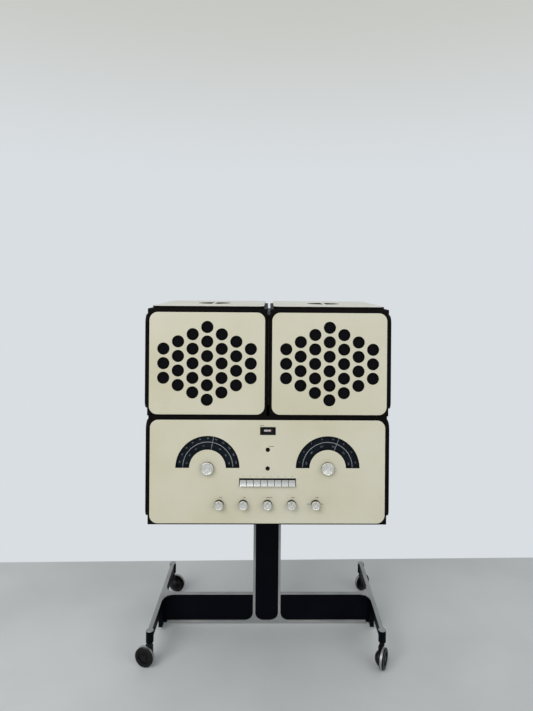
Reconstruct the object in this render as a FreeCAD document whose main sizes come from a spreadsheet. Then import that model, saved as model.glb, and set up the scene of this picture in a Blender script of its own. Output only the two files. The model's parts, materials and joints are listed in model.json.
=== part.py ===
import FreeCAD, Part
import Sketcher
import math
import os
import re

Vector = FreeCAD.Vector

doc = FreeCAD.newDocument("radiogram")
sheet = doc.addObject("Spreadsheet::Sheet", "sizes")

# Cast stand: an inverted T between two legs that run front to back.
stand_sizes = {
    "neck_height": "11",
    "leg_top": "=wheel_diameter + neck_height + boss_height",
    "leg_inset": "11",
    "leg_spacing": "=carcass_width - leg_inset",
    "leg_thickness": "11.5",
    "leg_bottom": "10",
    "leg_middle": "56",
    "leg_step_radius": "5",
    "arm_height": "27",
    "caster_spacing": "328",
    "boss_diameter": "19.6",
    "boss_height": "30",
    "beam_bottom": "10",
    "column_width": "79",
    "stand_thickness": "10",
    "rim_width": "6.5",
    "beam_rim": "4.5",
    "beam_top_rim": "2.5",
    "recess_depth": "2.5",
    "recess_corner": "24",
    "recess_floor_radius": "1.5",
    "beam_land": "8",
    "plan_fillet": "28",
    "head_width": "210",
    "head_depth": "150",
    "head_thickness": "8",
    "head_bolt_inset": "18",
    "head_bolt_diameter": "6",
    "leg_bolt_diameter": "6",
    "leg_bolt_length": "=leg_thickness + beam_land - thread_floor",
    "leg_bolt_pitch": "40",
    "bolt_head": "5",
    "bolt_clearance": "0.1",
    "stand_edge": "1.5",
    "stem_end_gap": "1",
    "gusset_margin": "1",
    "head_bolt_head": "10.2",
    "leg_bolt_head": "10.2",
    "thread_cover": "3",
    "thread_floor": "2",
}

# Casters, one wheel beside a domed hood, and the way each one is turned.
caster_sizes = {
    "wheel_diameter": "51",
    "wheel_width": "11",
    "wheel_offset": "1.5",
    "caster_trail": "11",
    "axle_diameter": "6",
    "axle_length": "22",
    "axle_end_gap": "1",
    "stem_diameter": "8",
    "stem_length": "24",
    "neck_diameter": "13",
    "hood_margin": "6.5",
    "hood_skirt": "4",
    "hood_depth": "16",
    "running_clearance": "0.08",
    "side_clearance": "0.5",
    "stem_root": "2",
    "bridge_lap": "2",
    "bridge_thickness": "8",
    "wheel_chamfer": "1",
    "tread_radius": "2",
    "wheel_rim": "7",
    "wheel_slope": "1.5",
    "wheel_dish": "3",
    "wheel_hub": "4",
    "hub_inset": "0.5",
    "front_left_turn": "164",
    "front_right_turn": "242",
    "rear_left_turn": "350",
    "rear_right_turn": "30",
}

# Radio cabinet: dark box with pale panels set on its faces.
cabinet_sizes = {
    "cabinet_bottom": "371",
    "carcass_width": "614",
    "carcass_depth": "356",
    "carcass_height": "279",
    "wall": "12",
    "carcass_edge": "1.5",
    "ledge": "10",
    "panel_thickness": "4.5",
    "panel_corner": "21",
    "panel_edge": "0.8",
    "front_side_margin": "5.5",
    "side_thickness": "7",
    "front_top_margin": "8.8",
    "front_bottom_margin": "4.5",
    "main_top_margin": "9.3",
    "main_bottom_margin": "5",
    "side_end_margin": "15",
    "side_depth_margin": "4",
    "top_end_margin": "8.5",
    "back_opening_width": "440",
    "back_opening_bottom": "30",
    "back_opening_height": "=deck_rise - 2 * back_opening_bottom",
    "vent_length": "64",
    "vent_width": "6",
    "vent_pitch": "14",
    "vent_rise": "124",
    "overcut": "1",
}

# Front controls.
control_sizes = {
    "dial_offset": "154",
    "dial_lift": "7.5",
    "dial_rise": "=carcass_height / 2 + dial_lift",
    "dial_outer": "82",
    "dial_inner": "46.7",
    "dial_pocket": "4",
    "dial_lap": "4",
    "scale_thickness": "1.2",
    "pointer_width": "1.3",
    "pointer_thickness": "0.6",
    "pointer_gap": "0.6",
    "pointer_hub": "12",
    "left_pointer_turn": "10.7",
    "right_pointer_turn": "21.5",
    "tuning_diameter": "32.5",
    "tuning_height": "9",
    "knob_diameter": "24",
    "knob_height": "13",
    "knob_pitch": "61.7",
    "knob_rise": "55",
    "knob_lift": "0.8",
    "shaft_diameter": "6",
    "tuning_shaft": "28",
    "knob_shaft": "26",
    "shaft_opening": "8",
    "board_opening": "16",
    "pot_diameter": "24",
    "pot_length": "14",
    "key_pitch": "17.9",
    "key_gap": "1.3",
    "key_height": "16",
    "key_slot_width": "146",
    "key_slot_height": "21",
    "key_slot_drop": "39.5",
    "key_slot_rise": "=carcass_height / 2 - key_slot_drop",
    "key_reach": "6",
    "key_lean": "4",
    "key_scoop": "16",
    "key_depth": "15",
    "key_stem_width": "8",
    "key_stem_height": "6",
    "key_stem_length": "30",
    "key_clearance": "0.4",
    "bank_depth": "32",
    "meter_width": "39.6",
    "meter_height": "20",
    "meter_drop": "37",
    "meter_rise": "=carcass_height - meter_drop",
    "meter_proud": "0.8",
    "meter_pocket": "9",
    "meter_window_width": "23",
    "meter_window_height": "9",
    "meter_skin": "1",
    "meter_hollow": "5",
    "needle_length": "11",
    "needle_drop": "6.5",
    "needle_width": "0.7",
    "lamp_diameter": "11",
    "lamp_upper_lift": "54.5",
    "lamp_lower_lift": "6.5",
    "lamp_upper_rise": "=carcass_height / 2 + lamp_upper_lift",
    "lamp_lower_rise": "=carcass_height / 2 + lamp_lower_lift",
    "lamp_proud": "0.9",
    "lamp_depth": "10",
    "fit_clearance": "0.15",
    "dial_sink_gap": "1",
    "pointer_tip_gap": "2",
    "pointer_root": "1",
    "tuning_chamfer": "0.8",
    "tuning_round": "1",
    "tuning_rim": "1.5",
    "tuning_slope": "1",
    "tuning_dish": "0.8",
    "tuning_hollow": "1.4",
    "knob_chamfer": "0.6",
    "knob_taper": "0.6",
    "knob_round": "0.8",
    "knob_rim": "1",
    "knob_slope": "0.6",
    "knob_dish": "0.6",
    "knob_hollow": "0.9",
    "pot_floor": "2",
    "bank_floor": "3",
    "key_seat": "1",
    "key_toe": "1",
    "key_nose": "1.2",
    "key_nose_height": "3",
    "meter_side": "2",
    "meter_pin_diameter": "1",
    "meter_pin_length": "4",
    "needle_setback": "2",
    "needle_hub_diameter": "3",
    "needle_hub_length": "1",
    "needle_thickness": "0.4",
    "needle_root": "0.8",
    "lamp_shoulder": "0.2",
    "lamp_bevel": "1",
    "lamp_crown": "0.3",
}

# Record deck under the speakers and the works below it.
deck_sizes = {
    "deck_drop": "65",
    "deck_rise": "=carcass_height - deck_drop",
    "deck_thickness": "2",
    "deck_clearance": "0.5",
    "platter_offset": "95",
    "platter_gap": "24",
    "platter_diameter": "=carcass_depth - 2 * wall - 2 * platter_gap",
    "platter_lift": "5",
    "platter_height": "15",
    "platter_rim": "8",
    "platter_web": "5",
    "mat_border": "4",
    "mat_thickness": "2",
    "hub_diameter": "24",
    "spindle_diameter": "7.16",
    "spindle_height": "12",
    "bearing_shaft": "8",
    "bearing_diameter": "16",
    "bearing_length": "34",
    "motor_diameter": "62",
    "motor_height": "40",
    "arm_offset": "105",
    "arm_back": "70",
    "arm_lift": "37",
    "arm_front_gap": "9",
    "arm_rise": "=deck_rise + arm_lift",
    "arm_length": "=arm_back + carcass_depth / 2 - wall - headshell_reach - arm_front_gap",
    "arm_tube": "8",
    "arm_tail": "52",
    "arm_axle": "3",
    "pillar_diameter": "30",
    "pillar_height": "20",
    "rest_distance": "150",
    "rest_diameter": "8",
    "yoke_gap": "18",
    "yoke_thickness": "4",
    "yoke_depth": "12",
    "weight_diameter": "26",
    "weight_length": "24",
    "headshell_width": "17",
    "headshell_length": "36",
    "headshell_thickness": "3",
    "cartridge_height": "7",
    "stylus_height": "1.6",
    "chassis_sheet": "2",
    "chassis_side_gap": "21.5",
    "chassis_head_gap": "8",
    "chassis_rear_gap": "16",
    "chassis_width": "=carcass_width - 2 * (wall + ledge + chassis_side_gap)",
    "chassis_height": "=deck_rise - deck_thickness - chassis_head_gap - wall",
    "chassis_back": "=carcass_depth / 2 - chassis_rear_gap",
    "rear_plate_width": "220",
    "rear_plate_height": "62",
    "socket_diameter": "15",
    "socket_pitch": "34",
    "socket_rise": "50",
    "transformer_width": "92",
    "transformer_depth": "64",
    "transformer_height": "78",
    "coil_bulge": "14",
    "coil_width": "55.2",
    "coil_height": "46.8",
    "socket_wall": "2",
    "socket_floor": "4",
    "window_margin": "2",
    "pillar_floor": "2",
    "pillar_gap": "0.3",
    "shaft_end_gap": "2",
    "platter_chamfer": "1",
    "spindle_taper": "2",
    "yoke_foot_height": "3",
    "yoke_foot_inset": "1",
    "yoke_stem_gap": "3",
    "pipe_setback": "8",
    "collar_gap": "1.5",
    "collar_length": "14",
    "headshell_reach": "10",
    "headshell_drop": "1",
    "cartridge_width": "12",
    "cartridge_length": "18",
    "stylus_diameter": "2",
}

# Loudspeaker boxes that stand side by side on the radio cabinet.
speaker_sizes = {
    "speaker_step": "4",
    "speaker_height": "=carcass_height - speaker_step",
    "speaker_trim": "0.5",
    "speaker_width": "=carcass_width / 2 - speaker_trim",
    "speaker_gap": "0.4",
    "inner_side_thickness": "3.5",
    "hole_side": "41.65",
    "hole_end": "44.5",
    "hole_web": "5.9",
    "hole_pitch": "=min((speaker_width - 2 * hole_side) / 6; (speaker_height - 2 * hole_end) / 5)",
    "hole_diameter": "=hole_pitch - hole_web",
    "cloth_margin": "18",
    "cloth_thickness": "0.8",
    "handle_diameter": "92",
    "handle_bar": "8",
    "handle_depth": "30",
    "handle_wall": "6",
    "woofer_diameter": "=speaker_height - 2 * wall - tweeter_diameter - driver_space",
    "woofer_rise": "=wall + woofer_seat + woofer_diameter / 2",
    "tweeter_diameter": "68",
    "driver_space": "27",
    "woofer_seat": "14",
    "tweeter_seat": "3",
    "tweeter_rise": "=speaker_height - wall - tweeter_seat - tweeter_diameter / 2",
    "speaker_socket": "16",
    "speaker_socket_rise": "40",
    "speaker_socket_floor": "1",
    "driver_lap": "8",
    "driver_rim": "10",
    "woofer_flange": "4",
    "woofer_cone_edge": "14",
    "woofer_cone_depth": "38",
    "woofer_basket": "44",
    "woofer_length": "66",
    "magnet_step": "3",
    "cone_start": "2",
    "tweeter_flange": "3",
    "tweeter_cone_edge": "13",
    "tweeter_cone_depth": "10",
    "tweeter_length": "26",
}

sizes = {}
for group in (stand_sizes, caster_sizes, cabinet_sizes, control_sizes, deck_sizes, speaker_sizes):
    sizes.update(group)
for row, name in enumerate(sizes, 1):
    sheet.set("A%d" % row, name)
    sheet.setAlias("B%d" % row, name)
for row, number in enumerate(sizes.values(), 1):
    sheet.set("B%d" % row, number)
doc.recompute()

# Places that follow from the driving sizes.
derived = {
    "beam_half": "leg_spacing / 2 - leg_thickness / 2",
    "column_half": "column_width / 2",
    "column_top": "cabinet_bottom - head_thickness",
    "recess_bottom": "beam_bottom + beam_rim",
    "recess_top": "leg_top - beam_top_rim",
    "recess_out": "beam_half - beam_land",
    "gusset_half": "stand_thickness / 2 + plan_fillet",
    "gusset_edge": "beam_half - gusset_margin",
    "arm_underside": "leg_top - arm_height",
    "boss_underside": "leg_top - boss_height",
    "caster_half": "caster_spacing / 2",
    "bolt_middle": "(leg_top + beam_bottom) / 2",
    "head_bolt_x": "head_width / 2 - head_bolt_inset",
    "head_bolt_y": "head_depth / 2 - head_bolt_inset",
    "wheel_radius": "wheel_diameter / 2",
    "hood_face": "wheel_offset - side_clearance",
    "hood_radius": "wheel_radius - hood_margin",
    "hood_rise": "hood_depth - hood_skirt",
    "hood_crown": "(hood_radius * hood_radius + hood_rise * hood_rise) / (2 * hood_rise)",
    "axle_start": "wheel_offset + wheel_width - hub_inset - axle_length",
    "cabinet_top": "cabinet_bottom + carcass_height",
    "carcass_front": "carcass_depth / 2",
    "panel_front": "carcass_depth / 2 + panel_thickness",
    "board_inside": "wall - carcass_depth / 2",
    "dial_height": "cabinet_bottom + dial_rise",
    "knob_level": "cabinet_bottom + knob_rise",
    "slot_bottom": "cabinet_bottom + key_slot_rise",
    "key_middle": "slot_bottom + key_seat + key_height / 2",
    "meter_level": "cabinet_bottom + meter_rise",
    "deck_top": "cabinet_bottom + deck_rise",
    "arm_level": "cabinet_bottom + arm_rise",
    "platter_top": "platter_lift + platter_height",
    "chassis_floor": "cabinet_bottom + wall",
    "chassis_front": "board_inside + chassis_sheet",
    "speaker_bottom": "cabinet_top",
    "speaker_top": "cabinet_top + speaker_height",
    "speaker_middle": "speaker_gap / 2 + inner_side_thickness + speaker_width / 2",
    "handle_radius": "handle_diameter / 2",
    "handle_chord": "sqrt(handle_diameter * handle_diameter - handle_bar * handle_bar) / 2",
    "grille_middle": "speaker_bottom + (speaker_height + front_bottom_margin - front_top_margin) / 2",
}


def expand(text):
    def swap(match):
        word = match.group(0)
        if word in derived:
            return "(" + expand(derived[word]) + ")"
        if word in sizes:
            return "sizes." + word
        return word
    return re.sub(r"[a-z_]+", swap, text)


def value(text):
    return float(sheet.evalExpression(expand(text)))


def bind(thing, path, text):
    thing.setExpression(path, expand(text))


def place(thing, x="0", y="0", z="0"):
    for axis, text in (("x", x), ("y", y), ("z", z)):
        if text != "0":
            bind(thing, "Placement.Base." + axis, text)
    return thing


def turn(thing, axis, angle):
    thing.Placement = FreeCAD.Placement(Vector(0, 0, 0), FreeCAD.Rotation(axis, angle))
    return thing


def new_body(name):
    body = doc.addObject("PartDesign::Body", name)
    body.Label = name
    return body


def new_sketch(body, plane, name, offset="0"):
    sketch = body.newObject("Sketcher::SketchObject", name)
    support = [item for item in body.Origin.OriginFeatures if item.Role == plane][0]
    sketch.AttachmentSupport = [(support, "")]
    sketch.MapMode = "FlatFace"
    if offset != "0":
        bind(sketch, "AttachmentOffset.Base.z", offset)
    return sketch


def constrain(sketch, pairs):
    first = sketch.ConstraintCount
    sketch.addConstraint([rule for rule, text in pairs])
    for index, (rule, text) in enumerate(pairs):
        if text is not None:
            bind(sketch, "Constraints[%d]" % (first + index), text)


def arc_between(start, end, radius, side):
    chord = end - start
    middle = (start + end) * 0.5
    normal = Vector(-chord.y, chord.x, 0).normalize()
    reach = math.sqrt(max(radius * radius - chord.Length * chord.Length / 4, 0))
    centre = middle + normal * (reach * side)
    first, last = (start, end) if side > 0 else (end, start)
    angles = [math.atan2(point.y - centre.y, point.x - centre.x) for point in (first, last)]
    return Part.ArcOfCircle(Part.Circle(centre, Vector(0, 0, 1), radius), angles[0], angles[1])


# A closed outline; a point with a radius ends an arc, and a minus puts its centre on the right of the path.
def outline(sketch, points):
    spots = [Vector(value(point[0]), value(point[1]), 0) for point in points]
    count = len(points)
    first = sketch.GeometryCount
    shapes = []
    ends = []
    for index in range(count):
        start = spots[index]
        end = spots[(index + 1) % count]
        goal = points[(index + 1) % count]
        if len(goal) > 2:
            side = -1 if goal[2].startswith("-") else 1
            shapes.append(arc_between(start, end, value(goal[2].lstrip("-")), side))
            ends.append((1, 2) if side > 0 else (2, 1))
        else:
            shapes.append(Part.LineSegment(start, end))
            ends.append((1, 2))
    sketch.addGeometry(shapes, False)
    pairs = []
    for index in range(count):
        after = (index + 1) % count
        edge = first + index
        joint = Sketcher.Constraint("Coincident", edge, ends[index][1], first + after, ends[after][0])
        pairs.append((joint, None))
        across = Sketcher.Constraint("DistanceX", -1, 1, edge, ends[index][0], spots[index].x)
        upward = Sketcher.Constraint("DistanceY", -1, 1, edge, ends[index][0], spots[index].y)
        pairs.append((across, points[index][0]))
        pairs.append((upward, points[index][1]))
        if len(points[after]) > 2:
            text = points[after][2].lstrip("-")
            pairs.append((Sketcher.Constraint("Radius", edge, value(text)), text))
    constrain(sketch, pairs)
    return sketch


def rectangle(sketch, left, bottom, right, top):
    return outline(sketch, [(left, bottom), (right, bottom), (right, top), (left, top)])


def rounded(sketch, left, bottom, right, top, radius):
    return outline(sketch, [
        ("%s + %s" % (left, radius), bottom, radius),
        ("%s - %s" % (right, radius), bottom),
        (right, "%s + %s" % (bottom, radius), radius),
        (right, "%s - %s" % (top, radius)),
        ("%s - %s" % (right, radius), top, radius),
        ("%s + %s" % (left, radius), top),
        (left, "%s - %s" % (top, radius), radius),
        (left, "%s + %s" % (bottom, radius)),
    ])


def circles(sketch, centres, radius):
    first = sketch.GeometryCount
    size = value(radius)
    spots = [Vector(value(x), value(y), 0) for x, y in centres]
    sketch.addGeometry([Part.Circle(spot, Vector(0, 0, 1), size) for spot in spots], False)
    pairs = [(Sketcher.Constraint("Radius", first, size), radius)]
    for index, (x, y) in enumerate(centres):
        edge = first + index
        pairs.append((Sketcher.Constraint("DistanceX", -1, 1, edge, 3, spots[index].x), x))
        pairs.append((Sketcher.Constraint("DistanceY", -1, 1, edge, 3, spots[index].y), y))
        if index:
            pairs.append((Sketcher.Constraint("Equal", first, edge), None))
    constrain(sketch, pairs)
    return sketch


def pad(body, sketch, length, flip=False, middle=False):
    feature = body.newObject("PartDesign::Pad", sketch.Name + "_pad")
    feature.Profile = sketch
    feature.SideType = "Symmetric" if middle else "One side"
    feature.Reversed = flip
    bind(feature, "Length", length)
    body.Tip = feature
    return feature


def pocket(body, sketch, length, flip=False, middle=False):
    feature = body.newObject("PartDesign::Pocket", sketch.Name + "_cut")
    feature.Profile = sketch
    feature.SideType = "Symmetric" if middle else "One side"
    feature.Reversed = flip
    bind(feature, "Length", length)
    body.Tip = feature
    return feature


def fillet(body, radius, chosen):
    doc.recompute()
    base = body.Tip
    names = []
    for index, edge in enumerate(base.Shape.Edges, 1):
        if chosen(edge):
            names.append("Edge%d" % index)
    feature = body.newObject("PartDesign::Fillet", body.Name + "_fillet")
    feature.Base = (base, names)
    bind(feature, "Radius", radius)
    body.Tip = feature
    return feature


def close(first, second):
    return abs(first - second) < 1e-4


def flat_at(edge, axis, level):
    box = edge.BoundBox
    low, high = {"x": (box.XMin, box.XMax), "y": (box.YMin, box.YMax), "z": (box.ZMin, box.ZMax)}[axis]
    return close(low, level) and close(high, level)


def upright(edge):
    box = edge.BoundBox
    return box.XLength < 1e-4 and box.YLength < 1e-4


def turned(name, points):
    body = new_body(name)
    sketch = outline(new_sketch(body, "XZ_Plane", name + "_profile"), points)
    feature = body.newObject("PartDesign::Revolution", name + "_turn")
    feature.Profile = sketch
    feature.ReferenceAxis = (sketch, ["V_Axis"])
    feature.Angle = 360
    body.Tip = feature
    return body


def block(name, width, depth, height, x, y, z):
    solid = doc.addObject("Part::Box", name)
    bind(solid, "Length", width)
    bind(solid, "Width", depth)
    bind(solid, "Height", height)
    return place(solid, x, y, z)


def centred_block(name, width, depth, height, x, y, z):
    return block(name, width, depth, height, "%s - (%s) / 2" % (x, width), y, z)


def rod(name, radius, height, x, y, z, axis="z"):
    solid = doc.addObject("Part::Cylinder", name)
    if axis == "y":
        turn(solid, Vector(1, 0, 0), -90)
    if axis == "x":
        turn(solid, Vector(0, 1, 0), 90)
    bind(solid, "Radius", radius)
    bind(solid, "Height", height)
    return place(solid, x, y, z)


def fuse(name, solids):
    result = doc.addObject("Part::MultiFuse", name)
    result.Shapes = solids
    result.Refine = True
    result.Label = name
    return result


def cut(name, solid, tools):
    result = doc.addObject("Part::Cut", name)
    result.Base = solid
    result.Tool = tools[0] if len(tools) == 1 else fuse(name + "_tools", tools)
    result.Label = name
    return result


def together(name, solids):
    result = doc.addObject("Part::Compound", name)
    result.Links = solids
    result.Label = name
    return result


def mirrored(name, source):
    result = doc.addObject("Part::Mirroring", name)
    result.Source = source
    result.Normal = Vector(1, 0, 0)
    result.Base = Vector(0, 0, 0)
    result.Label = name
    return result


nodes = {}


def keep(thing):
    nodes[thing.Label] = thing
    return thing


# Legs.
leg = new_body("left_leg")
side = new_sketch(leg, "YZ_Plane", "leg_side")
outline(side, [
    ("-caster_half", "arm_underside"),
    ("-leg_middle / 2 - leg_step_radius", "arm_underside"),
    ("-leg_middle / 2", "arm_underside - leg_step_radius", "-leg_step_radius"),
    ("-leg_middle / 2", "leg_bottom"),
    ("leg_middle / 2", "leg_bottom"),
    ("leg_middle / 2", "arm_underside - leg_step_radius"),
    ("leg_middle / 2 + leg_step_radius", "arm_underside", "-leg_step_radius"),
    ("caster_half", "arm_underside"),
    ("caster_half", "leg_top"),
    ("-caster_half", "leg_top"),
])
pad(leg, side, "leg_thickness", middle=True)
boss_places = [("0", "caster_half"), ("0", "-caster_half")]
boss = circles(new_sketch(leg, "XY_Plane", "leg_boss", "boss_underside"), boss_places, "boss_diameter / 2")
pad(leg, boss, "boss_height")
bore_radius = "stem_diameter / 2 + running_clearance"
bore = circles(new_sketch(leg, "XY_Plane", "leg_bore", "boss_underside"), boss_places, bore_radius)
pocket(leg, bore, "stem_length + stem_end_gap", flip=True)
bolt_rows = ["bolt_middle - leg_bolt_pitch / 2", "bolt_middle + leg_bolt_pitch / 2"]
bolt_places = [("0", row) for row in bolt_rows]
bolt_hole = circles(
    new_sketch(leg, "YZ_Plane", "leg_bolt_hole"), bolt_places, "leg_bolt_diameter / 2 + bolt_clearance")
pocket(leg, bolt_hole, "leg_thickness * 2", middle=True)
sink = circles(
    new_sketch(leg, "YZ_Plane", "leg_bolt_sink", "-leg_thickness / 2"), bolt_places,
    "leg_bolt_head / 2 + bolt_clearance")
pocket(leg, sink, "bolt_head", flip=True)
fillet(leg, "stand_edge", lambda edge: flat_at(edge, "z", value("leg_top")))
place(leg, "-leg_spacing / 2")
keep(leg)
keep(mirrored("right_leg", leg))

# Column, beam and head plate in one casting.
pedestal = new_body("pedestal")
tee = new_sketch(pedestal, "XZ_Plane", "stand_tee")
outline(tee, [
    ("-beam_half", "beam_bottom"),
    ("beam_half", "beam_bottom"),
    ("beam_half", "leg_top"),
    ("column_half", "leg_top"),
    ("column_half", "column_top"),
    ("-column_half", "column_top"),
    ("-column_half", "leg_top"),
    ("-beam_half", "leg_top"),
])
pad(pedestal, tee, "stand_thickness", middle=True)


def recesses(sketch):
    outline(sketch, [
        ("rim_width - column_half", "column_top - rim_width"),
        ("rim_width - column_half", "recess_bottom + recess_corner"),
        ("rim_width - column_half + recess_corner", "recess_bottom", "recess_corner"),
        ("column_half - rim_width - recess_corner", "recess_bottom"),
        ("column_half - rim_width", "recess_bottom + recess_corner", "recess_corner"),
        ("column_half - rim_width", "column_top - rim_width"),
    ])
    outline(sketch, [
        ("column_half", "recess_top"),
        ("column_half", "recess_bottom + recess_corner"),
        ("column_half + recess_corner", "recess_bottom", "recess_corner"),
        ("recess_out", "recess_bottom"),
        ("recess_out", "recess_top"),
    ])
    outline(sketch, [
        ("-recess_out", "recess_top"),
        ("-recess_out", "recess_bottom"),
        ("-column_half - recess_corner", "recess_bottom"),
        ("-column_half", "recess_bottom + recess_corner", "recess_corner"),
        ("-column_half", "recess_top"),
    ])
    return sketch


front_recess = recesses(new_sketch(pedestal, "XZ_Plane", "front_recess", "stand_thickness / 2"))
pocket(pedestal, front_recess, "recess_depth")
back_recess = recesses(new_sketch(pedestal, "XZ_Plane", "back_recess", "-stand_thickness / 2"))
pocket(pedestal, back_recess, "recess_depth", flip=True)
floor_level = value("stand_thickness / 2 - recess_depth")
fillet(pedestal, "recess_floor_radius",
       lambda edge: flat_at(edge, "y", floor_level) or flat_at(edge, "y", -floor_level))

# The top rim widens in a curve on both sides of the beam where it meets a leg.
gussets = new_sketch(pedestal, "XY_Plane", "stand_gussets", "recess_top")
outline(gussets, [
    ("gusset_edge - plan_fillet", "stand_thickness / 2"),
    ("gusset_edge", "gusset_half", "plan_fillet"),
    ("beam_half", "gusset_half"),
    ("beam_half", "-gusset_half"),
    ("gusset_edge", "-gusset_half"),
    ("gusset_edge - plan_fillet", "-stand_thickness / 2", "plan_fillet"),
])
outline(gussets, [
    ("plan_fillet - gusset_edge", "-stand_thickness / 2"),
    ("-gusset_edge", "-gusset_half", "plan_fillet"),
    ("-beam_half", "-gusset_half"),
    ("-beam_half", "gusset_half"),
    ("-gusset_edge", "gusset_half"),
    ("plan_fillet - gusset_edge", "stand_thickness / 2", "plan_fillet"),
])
pad(pedestal, gussets, "beam_top_rim")
head = rectangle(
    new_sketch(pedestal, "XY_Plane", "stand_head", "column_top"),
    "-head_width / 2", "-head_depth / 2", "head_width / 2", "head_depth / 2")
pad(pedestal, head, "head_thickness")
head_places = [(a + "head_bolt_x", b + "head_bolt_y") for a in ("", "-") for b in ("", "-")]
head_hole = circles(
    new_sketch(pedestal, "XY_Plane", "head_hole", "cabinet_bottom"), head_places,
    "head_bolt_diameter / 2 + bolt_clearance")
pocket(pedestal, head_hole, "head_thickness")
for side_name, sign in (("left", "-"), ("right", "")):
    thread = circles(
        new_sketch(pedestal, "YZ_Plane", side_name + "_thread", sign + "beam_half"), bolt_places,
        "leg_bolt_diameter / 2 + bolt_clearance")
    pocket(pedestal, thread, "beam_land - thread_floor + bolt_clearance", flip=(sign == "-"))
keep(pedestal)

# Bolts: four up into the cabinet and two through each leg.
bolts = []
for index, (x, y) in enumerate(head_places):
    bolt = turned("head_bolt_%d" % index, [
        ("0", "0"),
        ("head_bolt_head / 2", "0"),
        ("head_bolt_head / 2", "bolt_head"),
        ("head_bolt_diameter / 2", "bolt_head"),
        ("head_bolt_diameter / 2", "bolt_head + head_thickness + wall - thread_cover"),
        ("0", "bolt_head + head_thickness + wall - thread_cover"),
    ])
    bolts.append(place(bolt, x, y, "column_top - bolt_head"))
for side_name, sign, angle in (("left", "-", 90), ("right", "", -90)):
    for row_name, row in zip(("lower", "upper"), bolt_rows):
        bolt = turned("%s_%s_bolt" % (side_name, row_name), [
            ("0", "0"),
            ("leg_bolt_head / 2", "0"),
            ("leg_bolt_head / 2", "bolt_head"),
            ("leg_bolt_diameter / 2", "bolt_head"),
            ("leg_bolt_diameter / 2", "leg_bolt_length"),
            ("0", "leg_bolt_length"),
        ])
        turn(bolt, Vector(0, 1, 0), angle)
        bolts.append(place(bolt, "%s(leg_spacing / 2 + leg_thickness / 2)" % sign, "0", row))
keep(together("stand_bolts", bolts))

# Casters: each hangs from a leg boss and trails one wheel behind the stem, beside the hood.
for corner, x, y in (
        ("front_left", "-leg_spacing / 2", "-caster_half"),
        ("front_right", "leg_spacing / 2", "-caster_half"),
        ("rear_left", "-leg_spacing / 2", "caster_half"),
        ("rear_right", "leg_spacing / 2", "caster_half")):
    stem = rod(corner + "_stem", "stem_diameter / 2", "stem_length + stem_root",
               "0", "0", "boss_underside - stem_root")
    neck = rod(corner + "_neck", "neck_diameter / 2",
               "boss_underside - side_clearance - wheel_diameter - side_clearance",
               "0", "0", "wheel_diameter + side_clearance")
    hood = turned(corner + "_hood", [
        ("0", "0"),
        ("hood_radius", "0"),
        ("hood_radius", "hood_skirt"),
        ("0", "hood_depth", "hood_crown"),
    ])
    turn(hood, Vector(1, 0, 0), 90)
    place(hood, "caster_trail", "hood_face", "wheel_radius")
    bridge = block(corner + "_bridge", "caster_trail + neck_diameter / 2", "bridge_thickness",
                   "wheel_radius + bridge_lap", "-neck_diameter / 2",
                   "hood_face - bridge_thickness", "wheel_radius")
    axle_bore = rod(corner + "_axle_bore", "axle_diameter / 2 + running_clearance",
                    "axle_length + axle_end_gap",
                    "caster_trail", "axle_start - axle_end_gap", "wheel_radius", "y")
    fork = cut(corner + "_caster_fork", fuse(corner + "_frame", [stem, neck, hood, bridge]), [axle_bore])
    wheel = turned(corner + "_wheel", [
        ("axle_diameter / 2", "0"),
        ("wheel_radius - wheel_chamfer", "0"),
        ("wheel_radius", "wheel_chamfer"),
        ("wheel_radius", "wheel_width - tread_radius"),
        ("wheel_radius - tread_radius", "wheel_width"),
        ("wheel_radius - tread_radius - wheel_rim", "wheel_width"),
        ("wheel_radius - tread_radius - wheel_rim - wheel_slope", "wheel_width - wheel_dish"),
        ("axle_diameter / 2 + wheel_hub + wheel_slope", "wheel_width - wheel_dish"),
        ("axle_diameter / 2 + wheel_hub", "wheel_width - hub_inset"),
        ("axle_diameter / 2", "wheel_width - hub_inset"),
    ])
    turn(wheel, Vector(1, 0, 0), -90)
    place(wheel, "caster_trail", "wheel_offset", "wheel_radius")
    axle = rod(corner + "_axle", "axle_diameter / 2", "axle_length",
               "caster_trail", "axle_start", "wheel_radius", "y")
    wheels = together(corner + "_caster_wheels", [wheel, axle])
    for piece in (fork, wheels):
        turn(piece, Vector(0, 0, 1), 1)
        bind(piece, "Placement.Rotation.Angle", corner + "_turn")
        keep(place(piece, x, y))

# Cabinet box with its well for the deck and the cuts behind the controls.
carcass = new_body("main_carcass")
base = rectangle(
    new_sketch(carcass, "XY_Plane", "carcass_base", "cabinet_bottom"),
    "-carcass_width / 2", "-carcass_depth / 2", "carcass_width / 2", "carcass_depth / 2")
pad(carcass, base, "carcass_height")


def outer_edge(edge, half_width, half_depth, levels):
    box = edge.BoundBox
    if upright(edge):
        return close(abs(box.XMin), half_width) and close(abs(box.YMin), half_depth)
    return any(flat_at(edge, "z", level) for level in levels)


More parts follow.
